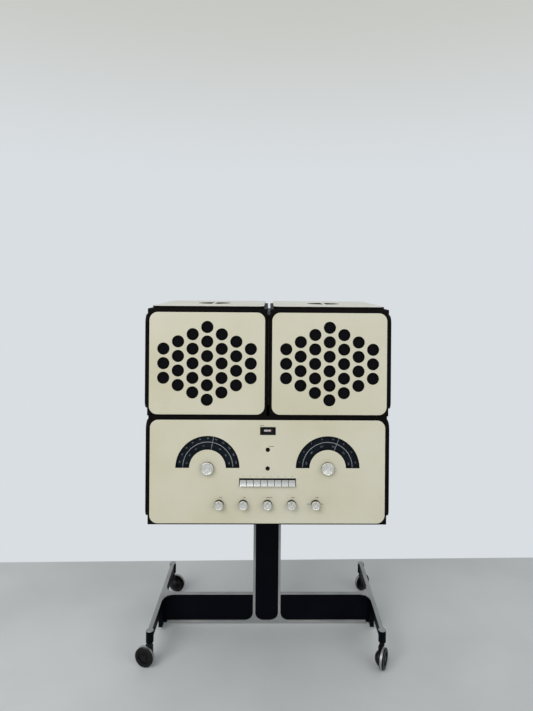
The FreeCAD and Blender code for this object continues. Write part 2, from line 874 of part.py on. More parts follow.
half_width = value("carcass_width / 2")
half_depth = value("carcass_depth / 2")
fillet(carcass, "carcass_edge",
       lambda edge: outer_edge(edge, half_width, half_depth, [value("cabinet_bottom")]))
well = rectangle(
    new_sketch(carcass, "XY_Plane", "deck_well", "cabinet_top"),
    "wall - carcass_width / 2", "board_inside", "carcass_width / 2 - wall", "-board_inside")
pocket(carcass, well, "cabinet_top - deck_top + deck_thickness")
works = rectangle(
    new_sketch(carcass, "XY_Plane", "works_space", "cabinet_top"),
    "wall + ledge - carcass_width / 2", "board_inside", "carcass_width / 2 - wall - ledge", "-board_inside")
pocket(carcass, works, "carcass_height - wall")
rear = rectangle(
    new_sketch(carcass, "XZ_Plane", "rear_opening", "-carcass_front"),
    "-back_opening_width / 2", "cabinet_bottom + back_opening_bottom",
    "back_opening_width / 2", "cabinet_bottom + back_opening_bottom + back_opening_height")
pocket(carcass, rear, "wall + overcut", flip=True)
dial_places = [("-dial_offset", "dial_height"), ("dial_offset", "dial_height")]
knob_places = [("%d * knob_pitch" % step, "knob_level") for step in (-2, -1, 0, 1, 2)]
lamp_places = [("0", "cabinet_bottom + lamp_upper_rise"), ("0", "cabinet_bottom + lamp_lower_rise")]
dial_sink = circles(
    new_sketch(carcass, "XZ_Plane", "dial_sink", "carcass_front"), dial_places,
    "dial_outer + dial_lap + dial_sink_gap")
pocket(carcass, dial_sink, "dial_pocket")
shaft_way = circles(
    new_sketch(carcass, "XZ_Plane", "shaft_way", "carcass_front"), dial_places + knob_places,
    "board_opening / 2")
pocket(carcass, shaft_way, "wall + overcut")
lamp_way = circles(
    new_sketch(carcass, "XZ_Plane", "lamp_way", "carcass_front"), lamp_places,
    "lamp_diameter / 2 + fit_clearance")
pocket(carcass, lamp_way, "lamp_depth")
key_way = rectangle(
    new_sketch(carcass, "XZ_Plane", "key_way", "carcass_front"),
    "-key_slot_width / 2", "slot_bottom", "key_slot_width / 2", "slot_bottom + key_slot_height")
pocket(carcass, key_way, "wall + overcut")
meter_way = rectangle(
    new_sketch(carcass, "XZ_Plane", "meter_way", "carcass_front"),
    "-meter_width / 2 - fit_clearance", "meter_level - meter_height / 2 - fit_clearance",
    "meter_width / 2 + fit_clearance", "meter_level + meter_height / 2 + fit_clearance")
pocket(carcass, meter_way, "meter_pocket")
carcass_hole = circles(
    new_sketch(carcass, "XY_Plane", "carcass_hole", "cabinet_bottom"), head_places,
    "head_bolt_diameter / 2 + bolt_clearance")
pocket(carcass, carcass_hole, "wall - thread_floor", flip=True)
keep(carcass)


def half_ring(sketch, x, y, outer, inner):
    return outline(sketch, [
        ("%s + %s" % (x, outer), y),
        (x, "%s + %s" % (y, outer), outer),
        ("%s - %s" % (x, outer), y, outer),
        ("%s - %s" % (x, inner), y),
        (x, "%s + %s" % (y, inner), "-" + inner),
        ("%s + %s" % (x, inner), y, "-" + inner),
    ])


# Front panel with the two dial windows and the openings for the controls.
front = new_body("main_front_panel")
face = rounded(
    new_sketch(front, "XZ_Plane", "front_face", "carcass_front"),
    "front_side_margin - carcass_width / 2", "cabinet_bottom + main_bottom_margin",
    "carcass_width / 2 - front_side_margin", "cabinet_top - main_top_margin", "panel_corner")
pad(front, face, "panel_thickness")
fillet(front, "panel_edge", lambda edge: flat_at(edge, "y", value("-panel_front")))
windows = new_sketch(front, "XZ_Plane", "dial_windows", "panel_front")
for x, y in dial_places:
    half_ring(windows, x, y, "dial_outer", "dial_inner")
rectangle(windows,
          "-key_slot_width / 2", "slot_bottom", "key_slot_width / 2", "slot_bottom + key_slot_height")
rectangle(
    windows, "-meter_width / 2 - fit_clearance", "meter_level - meter_height / 2 - fit_clearance",
    "meter_width / 2 + fit_clearance", "meter_level + meter_height / 2 + fit_clearance")
pocket(front, windows, "panel_thickness + overcut")
shaft_hole = circles(
    new_sketch(front, "XZ_Plane", "shaft_hole", "panel_front"), dial_places + knob_places,
    "shaft_opening / 2")
pocket(front, shaft_hole, "panel_thickness + overcut")
lamp_hole = circles(
    new_sketch(front, "XZ_Plane", "lamp_hole", "panel_front"), lamp_places,
    "lamp_diameter / 2 + fit_clearance")
pocket(front, lamp_hole, "panel_thickness + overcut")
keep(front)


def side_panel(name, low, high, x):
    body = new_body(name)
    sketch = rounded(
        new_sketch(body, "YZ_Plane", name + "_face", x),
        "side_depth_margin - carcass_depth / 2", low + " + side_end_margin",
        "carcass_depth / 2 - side_depth_margin", high + " - side_end_margin", "panel_corner")
    pad(body, sketch, "side_thickness", flip=x.startswith("-"))
    edge_level = value("%s %s side_thickness" % (x, "-" if x.startswith("-") else "+"))
    fillet(body, "panel_edge", lambda edge: flat_at(edge, "x", edge_level))
    return body


right_side = side_panel("main_right_side", "cabinet_bottom", "cabinet_top", "carcass_width / 2")
keep(together("main_side_panels", [right_side, mirrored("main_left_side", right_side)]))

# Back panel: two rows of vents and holes for the rear sockets.
back = new_body("main_back_panel")
face = rounded(
    new_sketch(back, "XZ_Plane", "back_face", "-carcass_front"),
    "front_side_margin - carcass_width / 2", "cabinet_bottom + main_bottom_margin",
    "carcass_width / 2 - front_side_margin", "cabinet_top - main_top_margin", "panel_corner")
pad(back, face, "panel_thickness", flip=True)
fillet(back, "panel_edge", lambda edge: flat_at(edge, "y", value("panel_front")))
vents = new_sketch(back, "XZ_Plane", "vents", "-panel_front")
for step in range(-6, 7):
    rectangle(
        vents, "%d * vent_pitch - vent_width / 2" % step, "cabinet_bottom + vent_rise - vent_length / 2",
        "%d * vent_pitch + vent_width / 2" % step, "cabinet_bottom + vent_rise + vent_length / 2")
pocket(back, vents, "panel_thickness + overcut", flip=True)
socket_steps = ("-1.5", "-0.5", "0.5", "1.5")
socket_places = [("%s * socket_pitch" % step, "cabinet_bottom + socket_rise") for step in socket_steps]
socket_hole = circles(
    new_sketch(back, "XZ_Plane", "socket_hole", "-panel_front"), socket_places,
    "socket_diameter / 2 + fit_clearance")
pocket(back, socket_hole, "panel_thickness + overcut", flip=True)
keep(back)

# Deck plate with the arm pillar and the arm rest.
deck = new_body("deck_plate")
sheet_face = rectangle(
    new_sketch(deck, "XY_Plane", "deck_sheet", "deck_top - deck_thickness"),
    "wall + deck_clearance - carcass_width / 2", "board_inside + deck_clearance",
    "carcass_width / 2 - wall - deck_clearance", "-board_inside - deck_clearance")
pad(deck, sheet_face, "deck_thickness")
bearing_hole = circles(
    new_sketch(deck, "XY_Plane", "bearing_hole", "deck_top"), [("-platter_offset", "0")],
    "bearing_diameter / 2 + fit_clearance")
pocket(deck, bearing_hole, "deck_thickness + overcut")
pillar = circles(
    new_sketch(deck, "XY_Plane", "arm_pillar", "deck_top"), [("arm_offset", "arm_back")],
    "pillar_diameter / 2")
pad(deck, pillar, "pillar_height")
rest = circles(
    new_sketch(deck, "XY_Plane", "arm_rest", "deck_top"), [("arm_offset", "arm_back - rest_distance")],
    "rest_diameter / 2")
pad(deck, rest, "arm_level - arm_tube / 2 - side_clearance - deck_top")
pillar_bore = circles(
    new_sketch(deck, "XY_Plane", "pillar_bore", "deck_top + pillar_height"), [("arm_offset", "arm_back")],
    "bearing_shaft / 2 + running_clearance")
pocket(deck, pillar_bore, "pillar_height - pillar_floor")
keep(deck)

# Motor can and the bearing that carries the platter.
bearing = cut(
    "platter_bearing",
    rod("bearing_tube", "bearing_diameter / 2", "bearing_length + deck_thickness",
        "-platter_offset", "0", "deck_top - bearing_length - deck_thickness"),
    [rod("bearing_bore", "bearing_shaft / 2 + running_clearance", "bearing_length + deck_thickness",
         "-platter_offset", "0", "deck_top - bearing_length")])
motor = rod("motor_can", "motor_diameter / 2", "motor_height",
            "0", "0", "deck_top - deck_thickness - motor_height")
keep(together("platter_motor", [bearing, motor]))

# Platter, mat and spindle turn as one.
platter = turned("platter", [
    ("0", "shaft_end_gap - bearing_length"),
    ("bearing_shaft / 2", "shaft_end_gap - bearing_length"),
    ("bearing_shaft / 2", "side_clearance"),
    ("hub_diameter / 2", "side_clearance"),
    ("hub_diameter / 2", "platter_top - platter_web"),
    ("platter_diameter / 2 - platter_rim", "platter_top - platter_web"),
    ("platter_diameter / 2 - platter_rim", "platter_lift"),
    ("platter_diameter / 2", "platter_lift"),
    ("platter_diameter / 2", "platter_top - platter_chamfer"),
    ("platter_diameter / 2 - platter_chamfer", "platter_top"),
    ("platter_diameter / 2 - mat_border", "platter_top"),
    ("platter_diameter / 2 - mat_border", "platter_top + mat_thickness"),
    ("spindle_diameter / 2", "platter_top + mat_thickness"),
    ("spindle_diameter / 2", "platter_top + mat_thickness + spindle_height - spindle_taper"),
    ("spindle_diameter / 4", "platter_top + mat_thickness + spindle_height"),
    ("0", "platter_top + mat_thickness + spindle_height"),
])
keep(place(platter, "-platter_offset", "0", "deck_top"))

# Arm: a yoke swings on the pillar and carries the arm on a cross axle.
yoke_foot = rod("yoke_foot", "pillar_diameter / 2 - yoke_foot_inset", "yoke_foot_height",
                "0", "0", "deck_top + pillar_height + pillar_gap - arm_level")
yoke_stem = rod("yoke_stem", "bearing_shaft / 2", "pillar_height - yoke_stem_gap",
                "0", "0", "deck_top + yoke_stem_gap + pillar_gap - arm_level")
yoke_cheeks = []
for index, sign in enumerate(("1", "-1")):
    yoke_cheeks.append(centred_block(
        "yoke_cheek_%d" % index, "yoke_thickness", "yoke_depth",
        "arm_level - deck_top - pillar_height - pillar_gap + arm_axle * 1.5",
        sign + " * (yoke_gap + yoke_thickness) / 2", "-yoke_depth / 2",
        "deck_top + pillar_height + pillar_gap - arm_level"))
yoke_bore = rod("yoke_bore", "arm_axle / 2 + running_clearance", "yoke_gap + 4 * yoke_thickness",
                "-yoke_gap / 2 - 2 * yoke_thickness", "0", "0", "x")
gimbal = cut("arm_gimbal", fuse("yoke", [yoke_foot, yoke_stem] + yoke_cheeks), [yoke_bore])
keep(place(gimbal, "arm_offset", "arm_back", "arm_level"))
arm_pieces = [
    rod("arm_pipe", "arm_tube / 2", "arm_length + arm_tail - pipe_setback",
        "0", "pipe_setback - arm_length", "0", "y"),
    rod("arm_cross_axle", "arm_axle / 2", "yoke_gap + 2 * yoke_thickness",
        "-yoke_gap / 2 - yoke_thickness", "0", "0", "x"),
    rod("arm_collar", "yoke_gap / 2 - collar_gap", "collar_length", "0", "-collar_length / 2", "0", "y"),
    rod("arm_weight", "weight_diameter / 2", "weight_length", "0", "arm_tail - weight_length", "0", "y"),
    centred_block("headshell", "headshell_width", "headshell_length", "headshell_thickness",
                  "0", "-arm_length - headshell_reach", "-arm_tube / 2 - headshell_drop"),
    centred_block("cartridge", "cartridge_width", "cartridge_length", "cartridge_height",
                  "0", "-arm_length - cartridge_length / 2",
                  "-arm_tube / 2 - headshell_drop - cartridge_height"),
    rod("stylus", "stylus_diameter / 2", "stylus_height + cartridge_height / 2", "0", "-arm_length",
        "-arm_tube / 2 - headshell_drop - cartridge_height - stylus_height"),
]
keep(place(fuse("tonearm", arm_pieces), "arm_offset", "arm_back", "arm_level"))

# Dial scales in the front board, with a pointer over each.
scales = new_body("left_scale")
ring = half_ring(
    new_sketch(scales, "XZ_Plane", "scale_ring", "carcass_front - dial_pocket"), "-dial_offset",
    "dial_height - dial_lap", "(dial_outer + dial_lap)", "(dial_inner - 2 * dial_lap)")
pad(scales, ring, "scale_thickness")
keep(together("dial_scales", [scales, mirrored("right_scale", scales)]))
for side_name, sign in (("left", "-"), ("right", "")):
    hub = rod(side_name + "_hub", "pointer_hub / 2", "dial_pocket - pointer_gap - side_clearance",
              "0", "0", "0", "y")
    blade = centred_block(side_name + "_blade", "pointer_width", "pointer_thickness",
                          "dial_outer - pointer_tip_gap - pointer_root - shaft_diameter / 2",
                          "0", "0", "shaft_diameter / 2 + pointer_root")
    bore = rod(side_name + "_hub_bore", "shaft_diameter / 2 + running_clearance", "dial_pocket + 2 * overcut",
               "0", "-overcut", "0", "y")
    pointer = cut(side_name + "_dial_pointer", fuse(side_name + "_hand", [hub, blade]), [bore])
    turn(pointer, Vector(0, 1, 0), 1)
    bind(pointer, "Placement.Rotation.Angle", side_name + "_pointer_turn")
    keep(place(pointer, sign + "dial_offset", "pointer_gap - carcass_front", "dial_height"))

# Tuning knobs and control knobs, each with its shaft.
for side_name, sign in (("left", "-"), ("right", "")):
    knob = turned(side_name + "_tuning_knob", [
        ("0", "-tuning_shaft"),
        ("shaft_diameter / 2", "-tuning_shaft"),
        ("shaft_diameter / 2", "knob_lift"),
        ("tuning_diameter / 2 - tuning_chamfer", "knob_lift"),
        ("tuning_diameter / 2", "knob_lift + tuning_chamfer"),
        ("tuning_diameter / 2", "tuning_height - tuning_round"),
        ("tuning_diameter / 2 - tuning_round", "tuning_height"),
        ("tuning_diameter / 2 - tuning_round - tuning_rim", "tuning_height"),
        ("tuning_diameter / 2 - tuning_round - tuning_rim - tuning_slope", "tuning_height - tuning_dish"),
        ("0", "tuning_height - tuning_hollow"),
    ])
    turn(knob, Vector(1, 0, 0), 90)
    keep(place(knob, sign + "dial_offset", "-panel_front", "dial_height"))
knob_names = ("volume_knob", "bass_knob", "treble_knob", "balance_knob", "mode_knob")
for name, (x, y) in zip(knob_names, knob_places):
    knob = turned(name, [
        ("0", "-knob_shaft"),
        ("shaft_diameter / 2", "-knob_shaft"),
        ("shaft_diameter / 2", "knob_lift"),
        ("knob_diameter / 2 - knob_chamfer", "knob_lift"),
        ("knob_diameter / 2", "knob_lift + knob_chamfer"),
        ("knob_diameter / 2 - knob_taper", "knob_height - knob_round"),
        ("knob_diameter / 2 - knob_taper - knob_round", "knob_height"),
        ("knob_diameter / 2 - knob_taper - knob_round - knob_rim", "knob_height"),
        ("knob_diameter / 2 - knob_taper - knob_round - knob_rim - knob_slope", "knob_height - knob_dish"),
        ("0", "knob_height - knob_hollow"),
    ])
    turn(knob, Vector(1, 0, 0), 90)
    keep(place(knob, x, "-panel_front", y))
pots = []
for index, (x, y) in enumerate(knob_places):
    can = rod("pot_can_%d" % index, "pot_diameter / 2", "pot_length", x, "chassis_front", y, "y")
    bore = rod("pot_bore_%d" % index, "shaft_diameter / 2 + running_clearance",
               "pot_length - pot_floor + overcut",
               x, "chassis_front - overcut", y, "y")
    pots.append(cut("pot_%d" % index, can, [bore]))
keep(together("potentiometers", pots))

# Key bank and its eight keys.
key_places = ["%s * key_pitch" % step
              for step in ("-3.5", "-2.5", "-1.5", "-0.5", "0.5", "1.5", "2.5", "3.5")]
bank = centred_block("bank_block", "key_slot_width", "bank_depth", "key_slot_height",
                     "0", "chassis_front", "slot_bottom")
stem_ways = []
for index, x in enumerate(key_places):
    stem_ways.append(centred_block(
        "stem_way_%d" % index, "key_stem_width + 2 * key_clearance", "bank_depth - bank_floor + overcut",
        "key_stem_height + 2 * key_clearance", x, "chassis_front - overcut",
        "key_middle - key_stem_height / 2 - key_clearance"))
keep(cut("key_bank", bank, stem_ways))
for index, x in enumerate(key_places, 1):
    key = new_body("key_%d" % index)
    cap = new_sketch(key, "YZ_Plane", "key_cap_%d" % index)
    outline(cap, [
        ("-key_reach", "key_toe - key_height / 2"),
        ("key_toe - key_reach", "-key_height / 2"),
        ("key_depth - key_reach", "-key_height / 2"),
        ("key_depth - key_reach", "key_height / 2"),
        ("key_lean - key_reach", "key_height / 2"),
        ("key_nose - key_reach", "key_nose_height - key_height / 2", "-key_scoop"),
    ])
    pad(key, cap, "key_pitch - key_gap", middle=True)
    stem = rectangle(
        new_sketch(key, "XZ_Plane", "key_stem_%d" % index, "key_reach - key_depth"),
        "-key_stem_width / 2", "-key_stem_height / 2", "key_stem_width / 2", "key_stem_height / 2")
    pad(key, stem, "key_stem_length", flip=True)
    keep(place(key, x, "-panel_front", "key_middle"))

# Tuning meter.
meter_box = centred_block(
    "meter_box", "meter_width", "meter_proud + panel_thickness + meter_pocket", "meter_height",
    "0", "-panel_front - meter_proud", "meter_level - meter_height / 2")
meter_room = centred_block(
    "meter_room", "meter_width - 2 * meter_side", "meter_hollow", "meter_height - 2 * meter_skin",
    "0", "meter_skin - panel_front - meter_proud", "meter_level - meter_height / 2 + meter_skin")
meter_window = centred_block(
    "meter_window", "meter_window_width", "meter_skin + 2 * overcut", "meter_window_height",
    "0", "-panel_front - meter_proud - overcut", "meter_level - meter_window_height / 2")
meter_shell = cut("meter_shell", meter_box, [meter_room, meter_window])
meter_pin = rod("meter_pin", "meter_pin_diameter / 2", "meter_pin_length", "0",
                "meter_skin + meter_hollow + overcut - meter_pin_length - panel_front - meter_proud",
                "meter_level - needle_drop", "y")
keep(fuse("meter_case", [meter_shell, meter_pin]))
needle_hub = rod("needle_hub", "needle_hub_diameter / 2", "needle_hub_length", "0", "0", "0", "y")
needle_blade = centred_block("needle_blade", "needle_width", "needle_thickness", "needle_length",
                             "0", "0", "needle_root")
needle_bore = rod("needle_bore", "meter_pin_diameter / 2 + running_clearance",
                  "needle_hub_length + 2 * overcut",
                  "0", "-overcut", "0", "y")
needle = cut("meter_needle", fuse("needle_hand", [needle_hub, needle_blade]), [needle_bore])
keep(place(needle, "0", "meter_skin + needle_setback - panel_front - meter_proud",
           "meter_level - needle_drop"))

# Two lamp lenses.
lamps = []
for index, (x, y) in enumerate(lamp_places):
    lens = turned("lamp_%d" % index, [
        ("0", "-panel_thickness - lamp_depth"),
        ("lamp_diameter / 2", "-panel_thickness - lamp_depth"),
        ("lamp_diameter / 2", "lamp_shoulder"),
        ("lamp_diameter / 2 - lamp_bevel", "lamp_proud"),
        ("0", "lamp_proud + lamp_crown"),
    ])
    turn(lens, Vector(1, 0, 0), 90)
    lamps.append(place(lens, x, "-panel_front", y))
keep(together("pilot_lamps", lamps))

# Chassis: front sheet behind the board, floor sheet, rear plate with sockets.
chassis_pieces = [
    centred_block("chassis_front_sheet", "chassis_width", "chassis_sheet", "chassis_height",
                  "0", "board_inside", "chassis_floor"),
    centred_block("chassis_floor_sheet", "chassis_width", "chassis_back - board_inside", "chassis_sheet",
                  "0", "board_inside", "chassis_floor"),
    centred_block("chassis_rear_sheet", "rear_plate_width", "chassis_sheet", "rear_plate_height",
                  "0", "chassis_back - chassis_sheet", "chassis_floor"),
]
for index, (x, y) in enumerate(socket_places):
    chassis_pieces.append(rod("socket_%d" % index, "socket_diameter / 2", "panel_front - chassis_back",
                              x, "chassis_back - overcut", y, "y"))
chassis_cuts = []
for index, (x, y) in enumerate(dial_places + knob_places):
    chassis_cuts.append(rod("shaft_bush_%d" % index, "shaft_diameter / 2 + running_clearance",
                            "chassis_sheet + 2 * overcut", x, "board_inside - overcut", y, "y"))
for index, (x, y) in enumerate(socket_places):
    chassis_cuts.append(rod("socket_hole_%d" % index, "socket_diameter / 2 - socket_wall",
                            "panel_front - chassis_back", x, "chassis_back + socket_floor", y, "y"))
chassis_cuts.append(centred_block(
    "stem_window", "key_slot_width - 2 * window_margin", "chassis_sheet + 2 * overcut",
    "key_stem_height + 4 * key_clearance", "0", "board_inside - overcut",
    "key_middle - key_stem_height / 2 - 2 * key_clearance"))
keep(cut("radio_chassis", fuse("chassis_sheets", chassis_pieces), chassis_cuts))
core = centred_block("transformer_core", "transformer_width", "transformer_depth - 2 * coil_bulge",
                     "transformer_height", "-chassis_width / 4", "coil_bulge - transformer_depth / 2",
                     "chassis_floor + chassis_sheet")
coil = centred_block("transformer_coil", "coil_width", "transformer_depth", "coil_height",
                     "-chassis_width / 4", "-transformer_depth / 2",
                     "chassis_floor + chassis_sheet + (transformer_height - coil_height) / 2")
keep(fuse("power_transformer", [core, coil]))

# Left loudspeaker; the right one is its mirror image.
middle = "-speaker_middle"
left_edge = middle + " - speaker_width / 2"
right_edge = middle + " + speaker_width / 2"
box = new_body("left_speaker_carcass")
base = rectangle(
    new_sketch(box, "XY_Plane", "speaker_base", "speaker_bottom"),
    left_edge, "-carcass_depth / 2", right_edge, "carcass_depth / 2")
pad(box, base, "speaker_height")
box_left = value(left_edge)
box_right = value(right_edge)


def box_edge(edge):
    bounds = edge.BoundBox
    if upright(edge):
        return close(bounds.XMin, box_left) or close(bounds.XMin, box_right)
    return flat_at(edge, "z", value("speaker_bottom")) or flat_at(edge, "z", value("speaker_top"))


fillet(box, "carcass_edge", box_edge)
room = rectangle(
    new_sketch(box, "XZ_Plane", "speaker_room", "-carcass_front"),
    left_edge + " + wall", "speaker_bottom + wall", right_edge + " - wall", "speaker_top - wall")
pocket(box, room, "carcass_depth - wall", flip=True)
cup_wall = circles(
    new_sketch(box, "XY_Plane", "cup_wall", "speaker_top - handle_depth - handle_wall"), [(middle, "0")],
    "handle_radius + handle_wall")
pad(box, cup_wall, "handle_depth + handle_wall - wall / 2")
cup = circles(new_sketch(box, "XY_Plane", "cup", "speaker_top"), [(middle, "0")], "handle_radius")
pocket(box, cup, "handle_depth")
rebate = rectangle(
    new_sketch(box, "XZ_Plane", "cloth_rebate", "carcass_front"),
    left_edge + " + cloth_margin", "speaker_bottom + cloth_margin",
    right_edge + " - cloth_margin", "speaker_top - cloth_margin")
pocket(box, rebate, "cloth_thickness")
woofer_place = (middle, "speaker_bottom + woofer_rise")
tweeter_place = (middle, "speaker_bottom + tweeter_rise")
woofer_hole = circles(
    new_sketch(box, "XZ_Plane", "woofer_hole", "carcass_front"), [woofer_place],
    "woofer_diameter / 2 - driver_lap")
pocket(box, woofer_hole, "wall + overcut")
tweeter_hole = circles(
    new_sketch(box, "XZ_Plane", "tweeter_hole", "carcass_front"), [tweeter_place],
    "tweeter_diameter / 2 - driver_lap")
pocket(box, tweeter_hole, "wall + overcut")

grille = new_body("left_speaker_front_panel")
face = rounded(
    new_sketch(grille, "XZ_Plane", "grille_face", "carcass_front"),
    left_edge + " + front_side_margin", "speaker_bottom + front_bottom_margin",
    right_edge + " - front_side_margin", "speaker_top - front_top_margin", "panel_corner")
pad(grille, face, "panel_thickness")
fillet(grille, "panel_edge", lambda edge: flat_at(edge, "y", value("-panel_front")))
hole_places = []
for column in range(-3, 4):
    count = 6 - abs(column)
    for row in range(count):
        x = "%s + %d * hole_pitch" % (middle, column)
        y = "grille_middle + %.1f * hole_pitch" % (row - (count - 1) / 2)
        hole_places.append((x, y))
holes = circles(new_sketch(grille, "XZ_Plane", "grille_holes", "panel_front"), hole_places,
                "hole_diameter / 2")
pocket(grille, holes, "panel_thickness + overcut")

lid = new_body("left_speaker_top_panel")
face = rounded(
    new_sketch(lid, "XY_Plane", "lid_face", "speaker_top"),
    left_edge + " + top_end_margin", "side_depth_margin - carcass_depth / 2",
    right_edge + " - top_end_margin", "carcass_depth / 2 - side_depth_margin", "panel_corner")
pad(lid, face, "side_thickness")
fillet(lid, "panel_edge", lambda edge: flat_at(edge, "z", value("speaker_top + side_thickness")))
grips = new_sketch(lid, "XY_Plane", "lid_grips", "speaker_top + side_thickness")
outline(grips, [
    (middle + " + handle_bar / 2", "-handle_chord"),
    (middle + " + handle_radius", "0", "handle_radius"),
    (middle + " + handle_bar / 2", "handle_chord", "handle_radius"),
])
outline(grips, [
    (middle + " - handle_bar / 2", "handle_chord"),
    (middle + " - handle_radius", "0", "handle_radius"),
    (middle + " - handle_bar / 2", "-handle_chord", "handle_radius"),
])
pocket(lid, grips, "side_thickness + overcut")

outer_side = side_panel("speaker_outer_side", "speaker_bottom", "speaker_top", left_edge)
inner_side = new_body("speaker_inner_side")
face = rounded(
    new_sketch(inner_side, "YZ_Plane", "inner_face", right_edge),
    "side_depth_margin - carcass_depth / 2", "speaker_bottom + side_end_margin",
    "carcass_depth / 2 - side_depth_margin", "speaker_top - side_end_margin", "panel_corner")
pad(inner_side, face, "inner_side_thickness")
inner_level = value(right_edge + " + inner_side_thickness")
fillet(inner_side, "panel_edge", lambda edge: flat_at(edge, "x", inner_level))
sides = together("left_speaker_side_panels", [outer_side, inner_side])

rear = new_body("left_speaker_back_panel")
face = rounded(
    new_sketch(rear, "XZ_Plane", "speaker_rear", "-carcass_front"),
    left_edge + " + front_side_margin", "speaker_bottom + front_bottom_margin",
    right_edge + " - front_side_margin", "speaker_top - front_top_margin", "panel_corner")
pad(rear, face, "panel_thickness", flip=True)
fillet(rear, "panel_edge", lambda edge: flat_at(edge, "y", value("panel_front")))
socket = circles(
    new_sketch(rear, "XZ_Plane", "speaker_socket", "-panel_front"),
    [(middle, "speaker_bottom + speaker_socket_rise")], "speaker_socket / 2")
pocket(rear, socket, "panel_thickness - speaker_socket_floor", flip=True)

cloth = centred_block(
    "left_speaker_grille_cloth", "speaker_width - 2 * cloth_margin", "cloth_thickness",
    "speaker_height - 2 * cloth_margin", middle, "-carcass_front", "speaker_bottom + cloth_margin")
woofer = turned("woofer", [
    ("woofer_diameter / 2 - driver_rim", "0"),
    ("woofer_diameter / 2", "0"),
    ("woofer_diameter / 2", "woofer_flange"),
    ("woofer_diameter / 2 - driver_rim", "woofer_flange"),
    ("woofer_diameter / 4", "woofer_basket"),
    ("woofer_diameter / 4 + magnet_step", "woofer_basket"),
    ("woofer_diameter / 4 + magnet_step", "woofer_length"),
    ("0", "woofer_length"),
    ("0", "woofer_cone_depth"),
    ("woofer_diameter / 8", "woofer_cone_depth"),
    ("woofer_diameter / 2 - woofer_cone_edge", "cone_start"),
])
tweeter = turned("tweeter", [
    ("tweeter_diameter / 2 - driver_rim", "0"),
    ("tweeter_diameter / 2", "0"),
    ("tweeter_diameter / 2", "tweeter_flange"),
    ("tweeter_diameter / 2 - driver_rim", "tweeter_flange"),
    ("tweeter_diameter / 2 - driver_rim", "tweeter_length"),
    ("0", "tweeter_length"),
    ("0", "tweeter_cone_depth"),
    ("tweeter_diameter / 8", "tweeter_cone_depth"),
    ("tweeter_diameter / 2 - tweeter_cone_edge", "cone_start"),
])
for unit, (x, y) in ((woofer, woofer_place), (tweeter, tweeter_place)):
    turn(unit, Vector(1, 0, 0), -90)
    place(unit, x, "board_inside", y)
drivers = together("left_speaker_drivers", [woofer, tweeter])
for piece in (box, grille, lid, sides, rear, cloth, drivers):
    keep(piece)
    keep(mirrored(piece.Label.replace("left", "right"), piece))

doc.recompute()
for thing in doc.Objects:
    if "Invalid" in thing.State or "Error" in thing.State:
        raise RuntimeError("%s did not build: %s" % (thing.Label, thing.State))
os.makedirs("parts", exist_ok=True)
for name, thing in nodes.items():
    if thing.Shape.isNull() or not thing.Shape.isValid():
        raise RuntimeError("%s has no sound shape" % name)
    thing.Shape.exportStep("parts/%s.step" % name)
print("%d parts written" % len(nodes))
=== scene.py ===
import json
import math
import bmesh
import bpy
from mathutils import Matrix, Vector


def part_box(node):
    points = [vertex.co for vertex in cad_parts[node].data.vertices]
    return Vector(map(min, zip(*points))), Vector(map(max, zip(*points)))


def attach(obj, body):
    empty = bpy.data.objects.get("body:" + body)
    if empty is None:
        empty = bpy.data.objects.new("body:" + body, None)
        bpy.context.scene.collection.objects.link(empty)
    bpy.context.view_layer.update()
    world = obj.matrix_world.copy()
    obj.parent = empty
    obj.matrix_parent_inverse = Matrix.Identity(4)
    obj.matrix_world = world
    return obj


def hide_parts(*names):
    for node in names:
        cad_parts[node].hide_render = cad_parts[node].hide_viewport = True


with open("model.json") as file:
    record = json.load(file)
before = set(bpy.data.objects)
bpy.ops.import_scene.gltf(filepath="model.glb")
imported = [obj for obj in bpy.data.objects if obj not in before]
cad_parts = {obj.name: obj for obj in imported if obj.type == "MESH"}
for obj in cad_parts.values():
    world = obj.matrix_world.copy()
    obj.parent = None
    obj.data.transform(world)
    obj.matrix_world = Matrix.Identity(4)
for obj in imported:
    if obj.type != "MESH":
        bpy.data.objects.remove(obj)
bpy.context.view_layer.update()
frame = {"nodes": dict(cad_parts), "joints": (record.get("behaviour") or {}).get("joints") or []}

nodes = frame["nodes"]
joints = {joint["name"]: joint for joint in frame["joints"]}
mm = 0.001
print("frame loaded:", len(nodes), "CAD nodes")


class Wire:
    def __init__(self, tree, socket=None):
        self.tree = tree
        self.socket = socket

    # any node: its type, its settings first, then the values or links of its sockets
    def add(self, kind, settings=None, values=None, out=0):
        node = self.tree.nodes.new(kind)
        for key, value in (settings or {}).items():
            if key == "stops":
                while len(node.color_ramp.elements) < len(value):
                    node.color_ramp.elements.new(1)
                for stop, (place, colour) in zip(node.color_ramp.elements, value):
                    stop.position = place
                    stop.color = colour
            else:
                setattr(node, key, value)
        for key, value in (values or {}).items():
            if isinstance(value, Wire):
                self.tree.links.new(value.socket, node.inputs[key])
            else:
                node.inputs[key].default_value = value
        return Wire(self.tree, node.outputs[out])

    def maths(self, operation, *values):
        return self.add("ShaderNodeMath", {"operation": operation}, dict(enumerate(values)))

    def vector(self, operation, *values, out=0):
        return self.add("ShaderNodeVectorMath", {"operation": operation}, dict(enumerate(values)), out)

    def __add__(self, other):
        return self.maths("ADD", self, other)

    def __radd__(self, other):
        return self.maths("ADD", other, self)

    def __sub__(self, other):
        return self.maths("SUBTRACT", self, other)

    def __rsub__(self, other):
        return self.maths("SUBTRACT", other, self)

    def __mul__(self, other):
        return self.maths("MULTIPLY", self, other)

    def __truediv__(self, other):
        return self.maths("DIVIDE", self, other)

    def __abs__(self):
        return self.maths("ABSOLUTE", self)


def tint(code):
    shares = [int(code[i:i + 2], 16) / 255 for i in (0, 2, 4)]
    linear = [s / 12.92 if s <= 0.04045 else ((s + 0.055) / 1.055) ** 2.4 for s in shares]
    return (*linear, 1.0)


